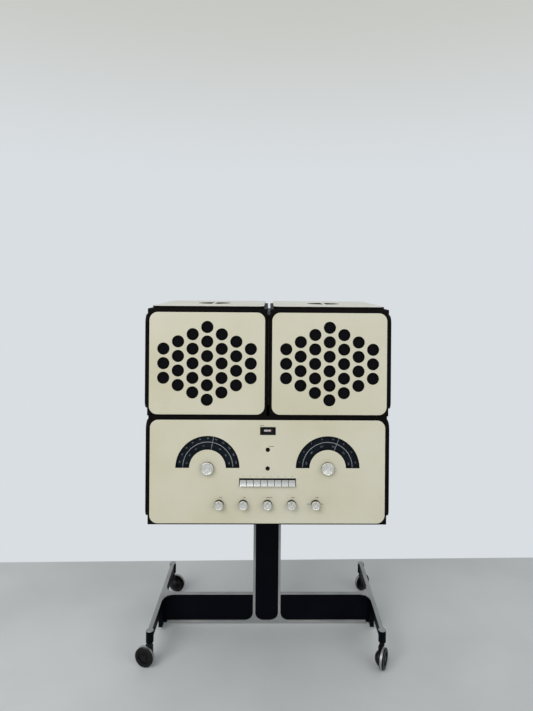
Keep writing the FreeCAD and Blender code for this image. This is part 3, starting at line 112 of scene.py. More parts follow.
def place(wire):
    return wire.add("ShaderNodeTexCoord", out="Object")


def facing(wire):
    return wire.add("ShaderNodeTexCoord", out="Normal")


def split(wire):
    first = wire.add("ShaderNodeSeparateXYZ", values={0: wire})
    return [Wire(wire.tree, output) for output in first.socket.node.outputs]


def smooth(wire, low, high):
    values = {0: wire, 1: low, 2: high, 3: 0.0, 4: 1.0}
    return wire.add("ShaderNodeMapRange", {"interpolation_type": "SMOOTHSTEP"}, values)


def noise(wire, scale, detail=3.0, roughness=0.5):
    return wire.add("ShaderNodeTexNoise", values={"Vector": wire, "Scale": scale, "Detail": detail,
                                                  "Roughness": roughness})


def stretched(wire, scale, detail=3.0):
    wide = wire.vector("MULTIPLY", wire, scale)
    return noise(wide, 1.0, detail)


def blended(share, first, second):
    return share.add("ShaderNodeMix", {"data_type": "RGBA"}, {0: share, 6: first, 7: second}, out=2)


def bumped(height, strength, distance):
    return height.add("ShaderNodeBump", values={"Height": height, "Strength": strength, "Distance": distance})


def ripple(wire, pitch):
    return wire.maths("SINE", wire * (2 * math.pi / pitch))


# distance from a turning axis and the way along it
def roundAxis(wire, centre, axis):
    offset = wire.vector("SUBTRACT", wire, tuple(centre))
    along = wire.vector("DOT_PRODUCT", offset, tuple(axis), out="Value")
    shadow = wire.add("ShaderNodeVectorMath", {"operation": "SCALE"}, {0: tuple(axis), "Scale": along})
    flat = wire.vector("SUBTRACT", offset, shadow)
    return wire.vector("LENGTH", flat, out="Value"), along


# small where two faces of a box meet
def boxEdge(wire, low, high):
    gaps = []
    for value, near, far in zip(split(wire), low, high):
        middle, half = (near + far) / 2, (far - near) / 2
        gaps.append(half - abs(value - middle))
    pairs = [wire.maths("MAXIMUM", gaps[a], gaps[b]) for a, b in ((0, 1), (1, 2), (0, 2))]
    return wire.maths("MINIMUM", wire.maths("MINIMUM", pairs[0], pairs[1]), pairs[2])


def finish(name, build, fixed):
    material = bpy.data.materials.new(name)
    material.use_nodes = True
    tree = material.node_tree
    shader = tree.nodes["Principled BSDF"]
    for key, value in fixed.items():
        shader.inputs[key].default_value = value
    for key, wire in build(Wire(tree)).items():
        tree.links.new(wire.socket, shader.inputs[key])
    return material


def dress(names, material):
    for name in names:
        nodes[name].data.materials.clear()
        nodes[name].data.materials.append(material)


# pale is the painted highlight colour on the rounded edges of the cream faces
laminate = {"cream": "cfcbb7", "warm": "c9c3aa", "pale": "dcd9ca", "edge": "090606", "roughness": 0.42,
            "grip": 48 * mm,
            "gloss": {"top_panel": 0.85, "front_panel": 0.14, "side_panels": 0.14, "back_panel": 0.14},
            "turn": {"top_panel": 0.3, "front_panel": 0.3, "side_panels": 0.93, "back_panel": 0.3}}


# one inside the round grip of either loudspeaker's top
def gripCircle(spot):
    low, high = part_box("right_speaker_top_panel")
    x, y = split(spot)[:2]
    offset = spot.add("ShaderNodeCombineXYZ", values={0: abs(x) - (low.x + high.x) / 2, 1: y})
    out = spot.vector("LENGTH", offset, out="Value")
    return smooth(out, laminate["grip"] + 0.4 * mm, laminate["grip"])


# the gloss is on the cream faces only, and the dark cut edges stay dull
def creamLaminate(panel, side):
    gloss, turn = laminate["gloss"][panel], laminate["turn"][panel]

    def build(wire):
        spot = place(wire)
        cloud = noise(spot, 5.0, 4.0)
        grain = noise(spot, 1400.0, 2.0)
        face = abs(split(facing(wire))[side])
        flat = smooth(face, turn, turn + (1 - turn) * 0.46)
        if panel == "top_panel":
            flat = flat * (1 - gripCircle(spot) * smooth(face, 0.995, 0.97))
        # painted highlight: a paler colour in patches on the rounded edges of the cream faces
        paintedEdgeHighlight = smooth(face, 0.99, 0.8) * smooth(noise(spot, 40.0), 0.35, 0.6)
        cream = blended(smooth(cloud, 0.35, 0.7), tint(laminate["cream"]), tint(laminate["warm"]))
        cream = blended(paintedEdgeHighlight * 0.7, cream, tint(laminate["pale"]))
        return {"Base Color": blended(flat, tint(laminate["edge"]), cream),
                "Roughness": laminate["roughness"] + (cloud - 0.5) * 0.16 + (grain - 0.5) * 0.06,
                "Coat Weight": flat * gloss, "Normal": bumped(grain, 0.12, 0.00012)}
    return finish("creamLaminate_" + panel, build, {"Specular IOR Level": 0.06, "Coat Roughness": 0.28})


lacquer = {"dark": "090707", "brown": "100b0a", "worn": "2c2421", "roughness": 0.55, "edge": 0.9 * mm}


def darkLacquer(name, low, high):
    def build(wire):
        spot = place(wire)
        cloud = noise(spot, 9.0, 5.0)
        peel = noise(spot, 420.0, 1.0)
        chips = smooth(noise(spot, 55.0, 4.0), 0.5, 0.62)
        worn = smooth(boxEdge(spot, low, high), lacquer["edge"], 0.2 * mm) * chips
        colour = blended(smooth(cloud, 0.4, 0.75), tint(lacquer["dark"]), tint(lacquer["brown"]))
        return {"Base Color": blended(worn * 0.55, colour, tint(lacquer["worn"])),
                "Roughness": lacquer["roughness"] + (cloud - 0.5) * 0.2 + worn * 0.15,
                "Normal": bumped(peel, 0.1, 0.0002)}
    return finish(name, build, {"Specular IOR Level": 0.06})


enamel = {"grey": "8f9191", "dust": "a3a4a2", "black": "03050b", "sheen": "060911",
          "rimRoughness": 0.46, "blackRoughness": 0.45}


def castFinish(spot, black):
    sand = noise(spot, 700.0, 2.0)
    cloud = noise(spot, 12.0, 5.0)
    grey = blended(smooth(cloud, 0.35, 0.7), tint(enamel["grey"]), tint(enamel["dust"]))
    dark = blended(smooth(cloud, 0.45, 0.8), tint(enamel["black"]), tint(enamel["sheen"]))
    rough = enamel["rimRoughness"] + (cloud - 0.5) * 0.18
    shine = enamel["blackRoughness"] + (cloud - 0.5) * 0.2
    return {"Base Color": blended(black, grey, dark), "Metallic": (1 - black) * 0.35,
            "Roughness": rough + (shine - rough) * black, "Normal": bumped(sand, 0.16, 0.00015)}


stand = {"rimFace": 4.2 * mm, "panelOut": 287 * mm, "topBand": 89.5 * mm, "columnHalf": 39.2 * mm,
         "columnOut": 50 * mm}


# bare metal on the rims and tops, black in the panels and on the upright walls towards the legs
def pedestalFinish(wire):
    spot = place(wire)
    x, y, z = split(spot)
    nx, ny, nz = split(facing(wire))
    upward = smooth(nz, 0.5, 0.8)
    column = smooth(abs(x), stand["columnHalf"], stand["columnHalf"] + 0.2 * mm) * smooth(abs(nx), 0.6, 0.9)
    column = column * smooth(abs(x), stand["columnOut"] + 10 * mm, stand["columnOut"])
    rim = smooth(abs(y), stand["rimFace"], stand["rimFace"] + 0.5 * mm) * smooth(abs(ny), 0.6, 0.9)
    outer = smooth(abs(x), stand["panelOut"], stand["panelOut"] + 0.6 * mm)
    below = smooth(z, stand["topBand"] + 0.2 * mm, stand["topBand"] - 0.2 * mm)
    bare = wire.maths("MAXIMUM", upward, wire.maths("MAXIMUM", column, rim * (1 - outer * below)))
    return castFinish(spot, 1 - wire.maths("MAXIMUM", bare, outer * (1 - below)))


def legFinish(wire):
    spot = place(wire)
    upward = smooth(split(facing(wire))[2], 0.35, 0.75)
    return castFinish(spot, 1 - upward)


moulding = {"black": "050506", "scuff": "121110", "tread": "9a9b9b", "face": "151211", "roughness": 0.42,
            "band": 2.4 * mm, "ringPitch": 5.2 * mm}


def casterBody(wire):
    spot = place(wire)
    cloud = noise(spot, 30.0, 4.0)
    colour = blended(smooth(cloud, 0.5, 0.8), tint(moulding["black"]), tint(moulding["scuff"]))
    return {"Base Color": colour, "Roughness": moulding["roughness"] + (cloud - 0.5) * 0.3,
            "Normal": bumped(noise(spot, 500.0), 0.1, 0.0002)}


# where a wheel's rim lies along its axis
def rimMiddle(name, centre, axis, radius):
    reach = []
    for vertex in nodes[name].data.vertices:
        offset = vertex.co - Vector(centre)
        along = offset.dot(Vector(axis))
        if (offset - Vector(axis) * along).length > radius - 0.3 * mm:
            reach.append(along)
    return (min(reach) + max(reach)) / 2


# a light band in the middle of the tread of a black wheel, and moulded rings on its face
def casterWheel(name, centre, axis, radius, middle):
    def build(wire):
        spot = place(wire)
        out, along = roundAxis(spot, centre, axis)
        cloud = noise(spot, 60.0, 4.0)
        band = smooth(abs(along - middle), moulding["band"] + 0.4 * mm, moulding["band"])
        tread = smooth(out, radius - 0.6 * mm, radius - 0.2 * mm) * band
        dust = smooth(cloud, 0.4, 0.75) * smooth(out, radius, radius * 0.4)
        rings = ripple(out, moulding["ringPitch"])
        colour = blended(dust * 0.8, tint(moulding["black"]), tint(moulding["face"]))
        return {"Base Color": blended(tread, colour, tint(moulding["tread"])), "Metallic": tread * 0.6,
                "Roughness": moulding["roughness"] + (cloud - 0.5) * 0.25,
                "Normal": bumped(rings, 0.3, 0.0004)}
    return finish(name, build, {"Specular IOR Level": 0.22})


# skirt is the painted shade and dark reflection colour on the knobs' round sides
turnedMetal = {"bright": "f3f1ea", "grey": "c4c2bb", "skirt": "4a4844", "pitch": 0.55 * mm, "roughness": 0.3}


# spun aluminium: fine rings round the axis catch the light in two fans
def spunMetal(name, centre, axis):
    def build(wire):
        spot = place(wire)
        out, along = roundAxis(spot, centre, axis)
        rings = ripple(out, turnedMetal["pitch"])
        streak = noise(spot.add("ShaderNodeCombineXYZ", values={0: out * 2600, 1: along * 400}), 1.0, 2.0)
        colour = blended(smooth(streak, 0.35, 0.7), tint(turnedMetal["bright"]), tint(turnedMetal["grey"]))
        # painted shade and dark reflection: the knob's round side, facing away from its axis, is coloured
        # dark
        skirt = smooth(abs(split(facing(wire))[1]), 0.55, 0.25)
        return {"Base Color": blended(skirt, colour, tint(turnedMetal["skirt"])),
                "Roughness": turnedMetal["roughness"] + (streak - 0.5) * 0.25,
                "Normal": bumped(rings + (streak - 0.5) * 1.5, 0.5, 0.00012)}
    return finish(name, build, {"Metallic": 1.0})


# side is the painted shade colour on the key sides, standing for the shade in the gaps between keys
plating = {"silver": "e8e7e2", "dull": "bbbab5", "side": "2a2826", "roughness": 0.24}


def platedKey(wire):
    spot = place(wire)
    brush = stretched(spot, (120, 900, 2600), 2.0)
    colour = blended(smooth(brush, 0.35, 0.75), tint(plating["silver"]), tint(plating["dull"]))
    # painted shade: the faces of each key that face sideways are coloured dark
    paintedShadeFlank = smooth(abs(split(facing(wire))[1]), 0.5, 0.2)
    return {"Base Color": blended(paintedShadeFlank, colour, tint(plating["side"])),
            "Roughness": plating["roughness"] + (brush - 0.5) * 0.2, "Normal": bumped(brush, 0.08, 0.00006)}


def plainFinish(first, second, scale, grain, roughness, bump):
    def build(wire):
        spot = place(wire)
        cloud = noise(spot, scale, 4.0)
        fine = noise(spot, grain, 2.0)
        colour = blended(smooth(cloud, 0.35, 0.72), tint(first), tint(second))
        return {"Base Color": colour, "Roughness": roughness + (cloud - 0.5) * 0.15,
                "Normal": bumped(fine, bump, 0.00015)}
    return build


dialFinish = {"black": "0d1219", "grey": "141b22"}
platterFinish = {"mat": "121212", "ringPitch": 3.0 * mm, "rim": "b5b5b2", "matRise": 20 * mm,
                 "matEdge": 139.9 * mm, "spindle": 3.7 * mm}


def platterLook(wire):
    spot = place(wire)
    centre = joints["platter_spin"]["pos_m"]
    out, along = roundAxis(spot, centre, (0, 0, 1))
    matTop = centre[2] + platterFinish["matRise"]
    mat = smooth(split(spot)[2], matTop - 0.1 * mm, matTop + 0.3 * mm)
    mat = mat * smooth(out, platterFinish["matEdge"] + 0.6 * mm, platterFinish["matEdge"])
    mat = mat * smooth(out, platterFinish["spindle"], platterFinish["spindle"] + 0.5 * mm)
    rings = ripple(out, platterFinish["ringPitch"])
    fine = noise(spot.add("ShaderNodeCombineXYZ", values={0: out * 1500, 1: along * 300}), 1.0)
    metal = blended(smooth(fine, 0.35, 0.7), tint(platterFinish["rim"]), tint(turnedMetal["grey"]))
    return {"Base Color": blended(mat, metal, tint(platterFinish["mat"])), "Metallic": 1 - mat,
            "Roughness": 0.32 + mat * 0.45, "Normal": bumped(rings * mat + fine * 0.3, 0.4, 0.0004)}


armFinish = {"tube": "c2c2bf", "black": "141415", "head": 190 * mm, "tail": 27.5 * mm}


def armLook(wire):
    spot = place(wire)
    behind = split(spot)[1] - joints["arm_lift"]["pos_m"][1]
    head = smooth(behind, -armFinish["head"], -armFinish["head"] - 3 * mm)
    tail = smooth(behind, armFinish["tail"], armFinish["tail"] + 0.7 * mm)
    black = wire.maths("MAXIMUM", head, tail)
    brush = stretched(spot, (2400, 90, 2400), 2.0)
    metal = blended(smooth(brush, 0.35, 0.7), tint(armFinish["tube"]), tint(turnedMetal["grey"]))
    return {"Base Color": blended(black, metal, tint(armFinish["black"])), "Metallic": 1 - black,
            "Roughness": 0.3 + black * 0.15 + (brush - 0.5) * 0.15, "Normal": bumped(brush, 0.08, 0.0001)}


transformer = {"iron": "2b2c30", "coil": "8a6a3a", "sheet": 1.0 * mm, "stackHalf": 18.2 * mm}


def laminations(wire):
    spot = place(wire)
    low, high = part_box("power_transformer")
    y = split(spot)[1]
    stack = ripple(y, transformer["sheet"])
    half = transformer["stackHalf"]
    coil = smooth(abs(y - (low.y + high.y) / 2), half, half + 0.4 * mm)
    colour = blended(coil, tint(transformer["iron"]), tint(transformer["coil"]))
    return {"Base Color": colour, "Roughness": 0.5 + (noise(spot, 200.0) - 0.5) * 0.2,
            "Normal": bumped(stack * (1 - coil), 0.3, 0.0003)}


driverPaper = {"pulp": "161514", "dust": "262422", "wooferRise": 78 * mm, "ringPitch": 4 * mm}


def driverLook(name, side):
    def build(wire):
        spot = place(wire)
        low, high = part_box(side + "_speaker_drivers")
        centre = ((low.x + high.x) / 2, low.y, low.z + driverPaper["wooferRise"])
        rings = ripple(roundAxis(spot, centre, (0, 1, 0))[0], driverPaper["ringPitch"])
        pulp = noise(spot, 600.0, 4.0)
        colour = blended(smooth(pulp, 0.4, 0.7), tint(driverPaper["pulp"]), tint(driverPaper["dust"]))
        return {"Base Color": colour, "Roughness": 0.7 + (pulp - 0.5) * 0.2,
                "Normal": bumped(rings * 0.4 + pulp, 0.3, 0.0004)}
    return finish(name, build, {"Specular IOR Level": 0.3})


# materials on the CAD nodes
for side, panel in ((1, "front_panel"), (2, "top_panel"), (0, "side_panels"), (1, "back_panel")):
    dress([name for name in nodes if name.endswith(panel)], creamLaminate(panel, side))
for name in ("main_carcass", "left_speaker_carcass", "right_speaker_carcass"):
    dress([name], darkLacquer("darkLacquer_" + name, *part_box(name)))
dress(["pedestal"], finish("castPedestal", pedestalFinish, {"Specular IOR Level": 0.05}))
dress(["left_leg", "right_leg"], finish("castLeg", legFinish, {"Specular IOR Level": 0.05}))
corners = ("front_left", "front_right", "rear_left", "rear_right")
forks = [corner + "_caster_fork" for corner in corners]
dress(forks, finish("casterMoulding", casterBody, {"Specular IOR Level": 0.2}))
for corner in corners:
    roll = joints[corner + "_roll"]
    wheel = corner + "_caster_wheels"
    hub = (roll["pos_m"], roll["axis"], roll["pos_m"][2])
    dress([wheel], casterWheel("casterWheel_" + corner, *hub, rimMiddle(wheel, *hub)))
knobJoints = {"left_tuning_knob": "left_tuning", "right_tuning_knob": "right_tuning",
              "volume_knob": "volume_turn", "bass_knob": "bass_turn", "treble_knob": "treble_turn",
              "balance_knob": "balance_turn", "mode_knob": "mode_turn"}
for knob, joint in knobJoints.items():
    dress([knob], spunMetal("spunMetal_" + knob, joints[joint]["pos_m"], (0, 1, 0)))
dress(["key_%d" % i for i in range(1, 9)], finish("platedKeys", platedKey, {"Metallic": 1.0}))
dress(["platter"], finish("platterMetal", platterLook, {}))
dress(["tonearm", "arm_gimbal"], finish("armMetal", armLook, {}))
dress(["power_transformer"], finish("laminatedIron", laminations, {}))
for side in ("left", "right"):
    dress([side + "_speaker_drivers"], driverLook("paperCone_" + side, side))
# pieces, then two colours, cloud scale, grain scale, roughness and bump, then the fixed values
plainLooks = {
    "dialBlack": (["dial_scales"], (dialFinish["black"], dialFinish["grey"], 20, 900, 0.42, 0.06),
                  {"Specular IOR Level": 0.08}),
    "pointerPaint": (["left_dial_pointer", "right_dial_pointer"], ("868b8c", "777c7d", 80, 900, 0.4, 0.05),
                     {"Specular IOR Level": 0.2}),
    "meterShell": (["meter_case"], ("0b0b0c", "141416", 60, 900, 0.3, 0.06), {"Specular IOR Level": 0.12}),
    "needlePaint": (["meter_needle"], ("1a1210", "3a1512", 200, 900, 0.45, 0.05), {}),
    "lampLens": (["pilot_lamps"], ("060404", "0e0807", 70, 500, 0.25, 0.03), {"Specular IOR Level": 0.12}),
    "deckPaint": (["deck_plate"], ("6a6b6b", "5e5f60", 14, 1600, 0.5, 0.2), {}),
    "worksSteel": (["platter_motor", "potentiometers", "radio_chassis"],
                   ("b0b2b0", "97988f", 25, 700, 0.4, 0.08), {"Metallic": 1.0}),
    "bankMoulding": (["key_bank"], ("3a2416", "2d1b11", 40, 600, 0.5, 0.1), {}),
    "boltPlating": (["stand_bolts"], ("2b2c2d", "1d1d1e", 90, 800, 0.4, 0.1), {"Metallic": 1.0}),
}
for name, (targets, look, fixed) in plainLooks.items():
    dress(targets, finish(name, plainFinish(*look), fixed))
print("finishes on CAD nodes:", len(bpy.data.materials))


def makePiece(name, mesh, body, material=None):
    if material:
        mesh.materials.clear()
        mesh.materials.append(material)
    piece = bpy.data.objects.new(name, mesh)
    bpy.context.scene.collection.objects.link(piece)
    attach(piece, body)
    return piece


# thin blocks given by centre and size, in one mesh
def blockMesh(name, blocks):
    shape = bmesh.new()
    for centre, size, index in blocks:
        made = bmesh.ops.create_cube(shape, size=1.0)
        bmesh.ops.scale(shape, vec=Vector(size), verts=made["verts"])
        bmesh.ops.translate(shape, vec=Vector(centre), verts=made["verts"])
        for face in {face for vert in made["verts"] for face in vert.link_faces}:
            face.material_index = index
    mesh = bpy.data.meshes.new(name)
    shape.to_mesh(mesh)
    shape.free()
    return mesh


def startTree(name, inputs):
    tree = bpy.data.node_groups.new(name, "GeometryNodeTree")
    tree.interface.new_socket("Geometry", in_out="INPUT", socket_type="NodeSocketGeometry")
    for label, kind in inputs.items():
        tree.interface.new_socket(label, in_out="INPUT", socket_type="NodeSocket" + kind)
    tree.interface.new_socket("Geometry", in_out="OUTPUT", socket_type="NodeSocketGeometry")
    entry = tree.nodes.new("NodeGroupInput")
    return tree, {label: Wire(tree, entry.outputs[label]) for label in ["Geometry", *inputs]}


def endTree(wire, material):
    solid = wire.add("GeometryNodeRealizeInstances", values={0: wire})
    coated = wire.add("GeometryNodeSetMaterial", values={"Geometry": solid, "Material": material})
    exitNode = wire.tree.nodes.new("NodeGroupOutput")
    wire.tree.links.new(coated.socket, exitNode.inputs[0])


def grow(name, tree, values, source=None):
    holder = bpy.data.objects.new(name + "Holder", source or bpy.data.meshes.new(name + "Start"))
    bpy.context.scene.collection.objects.link(holder)
    modifier = holder.modifiers.new("grow", "NODES")
    modifier.node_group = tree
    for item in tree.interface.items_tree:
        if item.in_out == "INPUT" and item.name in values:
            modifier[item.identifier] = values[item.name]
    graph = bpy.context.evaluated_depsgraph_get()
    mesh = bpy.data.meshes.new_from_object(holder.evaluated_get(graph))
    holder.modifiers.remove(modifier)
    bpy.data.objects.remove(holder)
    mesh.name = name
    return mesh


printWhite = finish("printWhite", plainFinish("b9bdbc", "a9adab", 300, 900, 0.5, 0.03), {})
printFaint = finish("printFaint", plainFinish("7d858b", "6d747a", 300, 900, 0.5, 0.03), {})
printDark = finish("printDark", plainFinish("2a2826", "1f1d1c", 300, 900, 0.5, 0.03), {})
cardPale = finish("cardPale", plainFinish("f4f1ee", "e9e4e1", 300, 900, 0.5, 0.03), {})
printRed = finish("printRed", plainFinish("9a2f2a", "7f2622", 300, 900, 0.5, 0.03), {})
screwZinc = finish("screwZinc", plainFinish("9d9e9b", "7d7f79", 120, 900, 0.36, 0.1), {"Metallic": 1.0})

# dial lines: an arc and ticks along it, by rule
dialLines = {"radius": 64 * mm, "line": 0.9 * mm, "thick": 0.1 * mm, "tick": 1.6 * mm,
             "tickWidth": 0.3 * mm, "count": 51, "start": 4.0, "sweep": 172.0}
tree, entry = startTree("dialLineTree", {
    "Radius": "Float", "Line": "Float", "Thick": "Float", "Tick": "Float", "Tick Width": "Float",
    "Count": "Int", "Start": "Float", "Sweep": "Float"})
whole = entry["Radius"].add("GeometryNodeCurveArc", {"mode": "RADIUS"}, {
    "Resolution": 96, "Radius": entry["Radius"], "Start Angle": 0.0, "Sweep Angle": math.pi})
strip = entry["Radius"].add("GeometryNodeCurvePrimitiveQuadrilateral", {"mode": "RECTANGLE"},
                            {"Width": entry["Line"], "Height": entry["Thick"]})
line = whole.add("GeometryNodeCurveToMesh", values={
    "Curve": whole, "Profile Curve": strip, "Fill Caps": True})
marks = entry["Radius"].add("GeometryNodeCurveArc", {"mode": "RADIUS"},
                            {"Resolution": entry["Count"], "Radius": entry["Radius"] + entry["Tick"] * 0.5,
                             "Start Angle": entry["Start"], "Sweep Angle": entry["Sweep"]})
bar = marks.add("GeometryNodeMeshCube", values={"Size": marks.add(
    "ShaderNodeCombineXYZ", values={0: entry["Tick"], 1: entry["Tick Width"], 2: entry["Thick"]})})
step = entry["Sweep"] / (entry["Count"] - 1)
angle = entry["Start"] + step * marks.add("GeometryNodeInputIndex")
aboutHub = marks.add("ShaderNodeCombineXYZ", values={2: angle})
turned = marks.add("FunctionNodeEulerToRotation", values={0: aboutHub})
ticks = marks.add("GeometryNodeInstanceOnPoints", values={
    "Points": marks, "Instance": bar, "Rotation": turned})
joined = ticks.add("GeometryNodeJoinGeometry", values={0: line})
ticks.tree.links.new(ticks.socket, joined.socket.node.inputs[0])
endTree(joined, printWhite)

dialNumbers = {
    "left": {"outer": ("88", "90", "92", "94", "96", "98", "100", "102", "104", "106", "108"),
             "inner": ("16", "19", "25", "31", "41", "49", "52", "54")},
    "right": {"outer": ("5", "6", "7", "8", "10", "12", "14", "16"),
              "inner": ("150", "180", "210", "240", "270", "300")},
}
dialRows = {"outer": 73.2 * mm, "inner": 55.0 * mm, "height": 5.2 * mm, "first": 170.0, "last": 10.0}


def numberMesh(text, height, matrix):
    curve = bpy.data.curves.new("number", "FONT")
    curve.body = text
    curve.size = height
    curve.align_x = "CENTER"
    curve.align_y = "CENTER"
    curve.extrude = 0.05 * mm
    curve.resolution_u = 2
    holder = bpy.data.objects.new("numberHolder", curve)
    bpy.context.scene.collection.objects.link(holder)
    mesh = bpy.data.meshes.new_from_object(holder.evaluated_get(bpy.context.evaluated_depsgraph_get()))
    bpy.data.objects.remove(holder)
    mesh.transform(matrix)
    return mesh


def joinMeshes(name, meshes):
    shape = bmesh.new()
    for mesh in meshes:
        shape.from_mesh(mesh)
    result = bpy.data.meshes.new(name)
    shape.to_mesh(result)
    shape.free()
    return result


upright = Matrix.Rotation(math.radians(90), 4, "X")
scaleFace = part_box("dial_scales")[0].y
for side in ("left", "right"):
    hub = Vector(joints[side + "_tuning"]["pos_m"])
    hub.y = scaleFace - dialLines["thick"] / 2
    lines = grow(side + "DialLines", tree, {
        "Radius": dialLines["radius"], "Line": dialLines["line"], "Thick": dialLines["thick"],
        "Tick": dialLines["tick"], "Tick Width": dialLines["tickWidth"], "Count": dialLines["count"],
        "Start": math.radians(dialLines["start"]), "Sweep": math.radians(dialLines["sweep"])})
    lines.transform(Matrix.Translation(hub) @ upright)
    makePiece(side + "DialLines", lines, "root")
    numbers = []
    for row in ("outer", "inner"):
        words = dialNumbers[side][row]
        for index, word in enumerate(words):
            turn = dialRows["first"] + (dialRows["last"] - dialRows["first"]) * index / (len(words) - 1)
            ray = Vector((math.cos(math.radians(turn)), 0, math.sin(math.radians(turn))))
            spin = Matrix.Rotation(math.radians(turn - 90), 4, "Z")
            numbers.append(numberMesh(word, dialRows["height"],
                                      Matrix.Translation(hub + ray * dialRows[row]) @ upright @ spin))
    numberRows = joinMeshes(side + "DialNumbers", numbers)
    makePiece(side + "DialNumbers", numberRows, "root", printFaint)
print("dials printed")

# small printed marks on the front panel
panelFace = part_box("main_front_panel")[0].y
panelMarks = {"ink": 0.06 * mm, "keyRise": 16.5 * mm, "keySize": 4.2 * mm, "bar": 1.1 * mm,
              "knobRise": 17 * mm, "meterBar": (4.5 * mm, 3.6 * mm, 11 * mm),
              "lampBar": (9 * mm, 3 * mm, 13 * mm)}
inkY = panelFace - panelMarks["ink"] / 2
keyNumbers = []
for index in range(1, 9):
    low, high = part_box("key_%d" % index)
    spot = Vector(((low.x + high.x) / 2, inkY, (low.z + high.z) / 2 + panelMarks["keyRise"]))
    keyNumbers.append(numberMesh(str(index), panelMarks["keySize"], Matrix.Translation(spot) @ upright))
makePiece("keyNumbers", joinMeshes("keyNumbers", keyNumbers), "root", printDark)
# length and shift of the bar over each knob, then across, up and length of those beside it, in mm
barLengths = {"volume_turn": (7, 3), "bass_turn": (7, 3), "treble_turn": (16, 5), "balance_turn": (8, 4),
              "mode_turn": (8, 4)}
sideBars = {"mode_turn": ((-18, 0, 8), (18, 0, 5)), "volume_turn": ((-13.5, -8, 3),)}


def inkBar(x, z, length):
    return (x, inkY, z), (length, panelMarks["ink"], panelMarks["bar"]), 0


bars = []
for joint, (length, shift) in barLengths.items():
    x, y, z = joints[joint]["pos_m"]
    bars.append(inkBar(x + shift * mm, z + panelMarks["knobRise"], length * mm))
    for across, up, short in sideBars.get(joint, ()):
        bars.append(inkBar(x + across * mm, z + up * mm, short * mm))
low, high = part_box("meter_case")
across, up, length = panelMarks["meterBar"]
bars.append(inkBar(low.x + across, high.z + up, length))
low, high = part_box("pilot_lamps")
across, up, length = panelMarks["lampBar"]
bars.append(inkBar(across, high.z + up, length))
makePiece("panelMarks", blockMesh("panelMarks", bars), "root", printDark)

# dark meter card behind the needle, with printed strips: across, up, width, height in mm, and material
meterCard = {"depth": 5.0 * mm, "lip": 1.0 * mm, "thick": 0.3 * mm, "width": 34 * mm, "height": 16 * mm,
             "ink": 0.12 * mm, "proud": 0.2 * mm}
cardStrips = ((-1.6, -0.2, 17, 5.0, 1), (8.5, -0.2, 3.0, 5.0, 2), (0, 3.8, 21, 0.5, 1))
low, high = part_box("meter_case")
back = low.y + meterCard["lip"] + meterCard["depth"] - meterCard["thick"] / 2
middle = (low.z + high.z) / 2
blocks = [((0, back, middle), (meterCard["width"], meterCard["thick"], meterCard["height"]), 0)]
for across, up, wide, tall, index in cardStrips:
    spot = (across * mm, back - meterCard["proud"], middle + up * mm)
    blocks.append((spot, (wide * mm, meterCard["ink"], tall * mm), index))
card = blockMesh("meterCard", blocks)
for material in (printDark, cardPale, printRed):
    card.materials.append(material)
makePiece("meterCard", card, "root")

# index line on each control knob
knobIndex = {"width": 0.9 * mm, "length": 4.0 * mm, "thick": 0.12 * mm, "reach": 6.3 * mm,
             "sunk": 0.66 * mm}
for knob, joint in list(knobJoints.items())[2:]:
    x, y, z = joints[joint]["pos_m"]
    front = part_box(knob)[0].y
    mark = blockMesh(knob + "Index", [((x, front + knobIndex["sunk"], z + knobIndex["reach"]),
                                      (knobIndex["width"], knobIndex["thick"], knobIndex["length"]), 0)])
    makePiece(knob + "Index", mark, knob, printDark)
print("panel marks done")

# grille cloths
clothLook = {"dark": "050506", "thread": "0d0d12", "pitch": 0.9 * mm, "thick": 0.5 * mm, "cells": 48}


def wovenCloth(wire):
    x, z = split(place(wire))[::2]
    across = ripple(x, clothLook["pitch"])
    upward = ripple(z, clothLook["pitch"])
    weave = smooth(across * upward, -0.6, 0.6)
    return {"Base Color": blended(weave, tint(clothLook["dark"]), tint(clothLook["thread"])),
            "Roughness": 0.85 + weave * 0.1, "Normal": bumped(weave, 0.6, 0.0003)}


blackCloth = finish("blackCloth", wovenCloth, {"Specular IOR Level": 0.1, "Sheen Weight": 0.02})
for side in ("left", "right"):
    low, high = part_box(side + "_speaker_grille_cloth")
    width, height = high.x - low.x, high.z - low.z
    shape = bmesh.new()
    bmesh.ops.create_grid(shape, x_segments=clothLook["cells"], y_segments=clothLook["cells"], size=0.5)
    bmesh.ops.scale(shape, vec=(width, height, 1), verts=shape.verts)
    mesh = bpy.data.meshes.new(side + "GrilleCloth")
    shape.to_mesh(mesh)
    shape.free()
    middle = ((low.x + high.x) / 2, low.y + clothLook["thick"] / 2, (low.z + high.z) / 2)
    mesh.transform(Matrix.Translation(middle) @ upright)
    cloth = makePiece(side + "GrilleCloth", mesh, side + "_speaker", blackCloth)
    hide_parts(side + "_speaker_grille_cloth")
print("grille cloths stretched")

# slotted screws round the back panels
screws = {"radius": 3.6 * mm, "height": 1.0 * mm, "slot": 0.9 * mm, "inset": 13 * mm, "endInset": 21 * mm,
          "sunk": 0.1 * mm}
tree, entry = startTree("screwTree", {"Radius": "Float", "Height": "Float", "Slot": "Float"})
head = entry["Radius"].add("GeometryNodeMeshCylinder", values={
    "Vertices": 20, "Radius": entry["Radius"], "Depth": entry["Height"]}, out="Mesh")
groove = entry["Radius"].add("GeometryNodeMeshCube", values={"Size": entry["Radius"].add(
    "ShaderNodeCombineXYZ", values={0: entry["Radius"] * 3, 1: entry["Slot"], 2: entry["Height"]})})
lifted = groove.add("GeometryNodeTransform", values={"Geometry": groove, "Translation": groove.add(
    "ShaderNodeCombineXYZ", values={2: entry["Height"] * 0.5})})
slotted = head.add("GeometryNodeMeshBoolean", {"operation": "DIFFERENCE"}, {0: head})
slotted.tree.links.new(lifted.socket, slotted.socket.node.inputs[1])
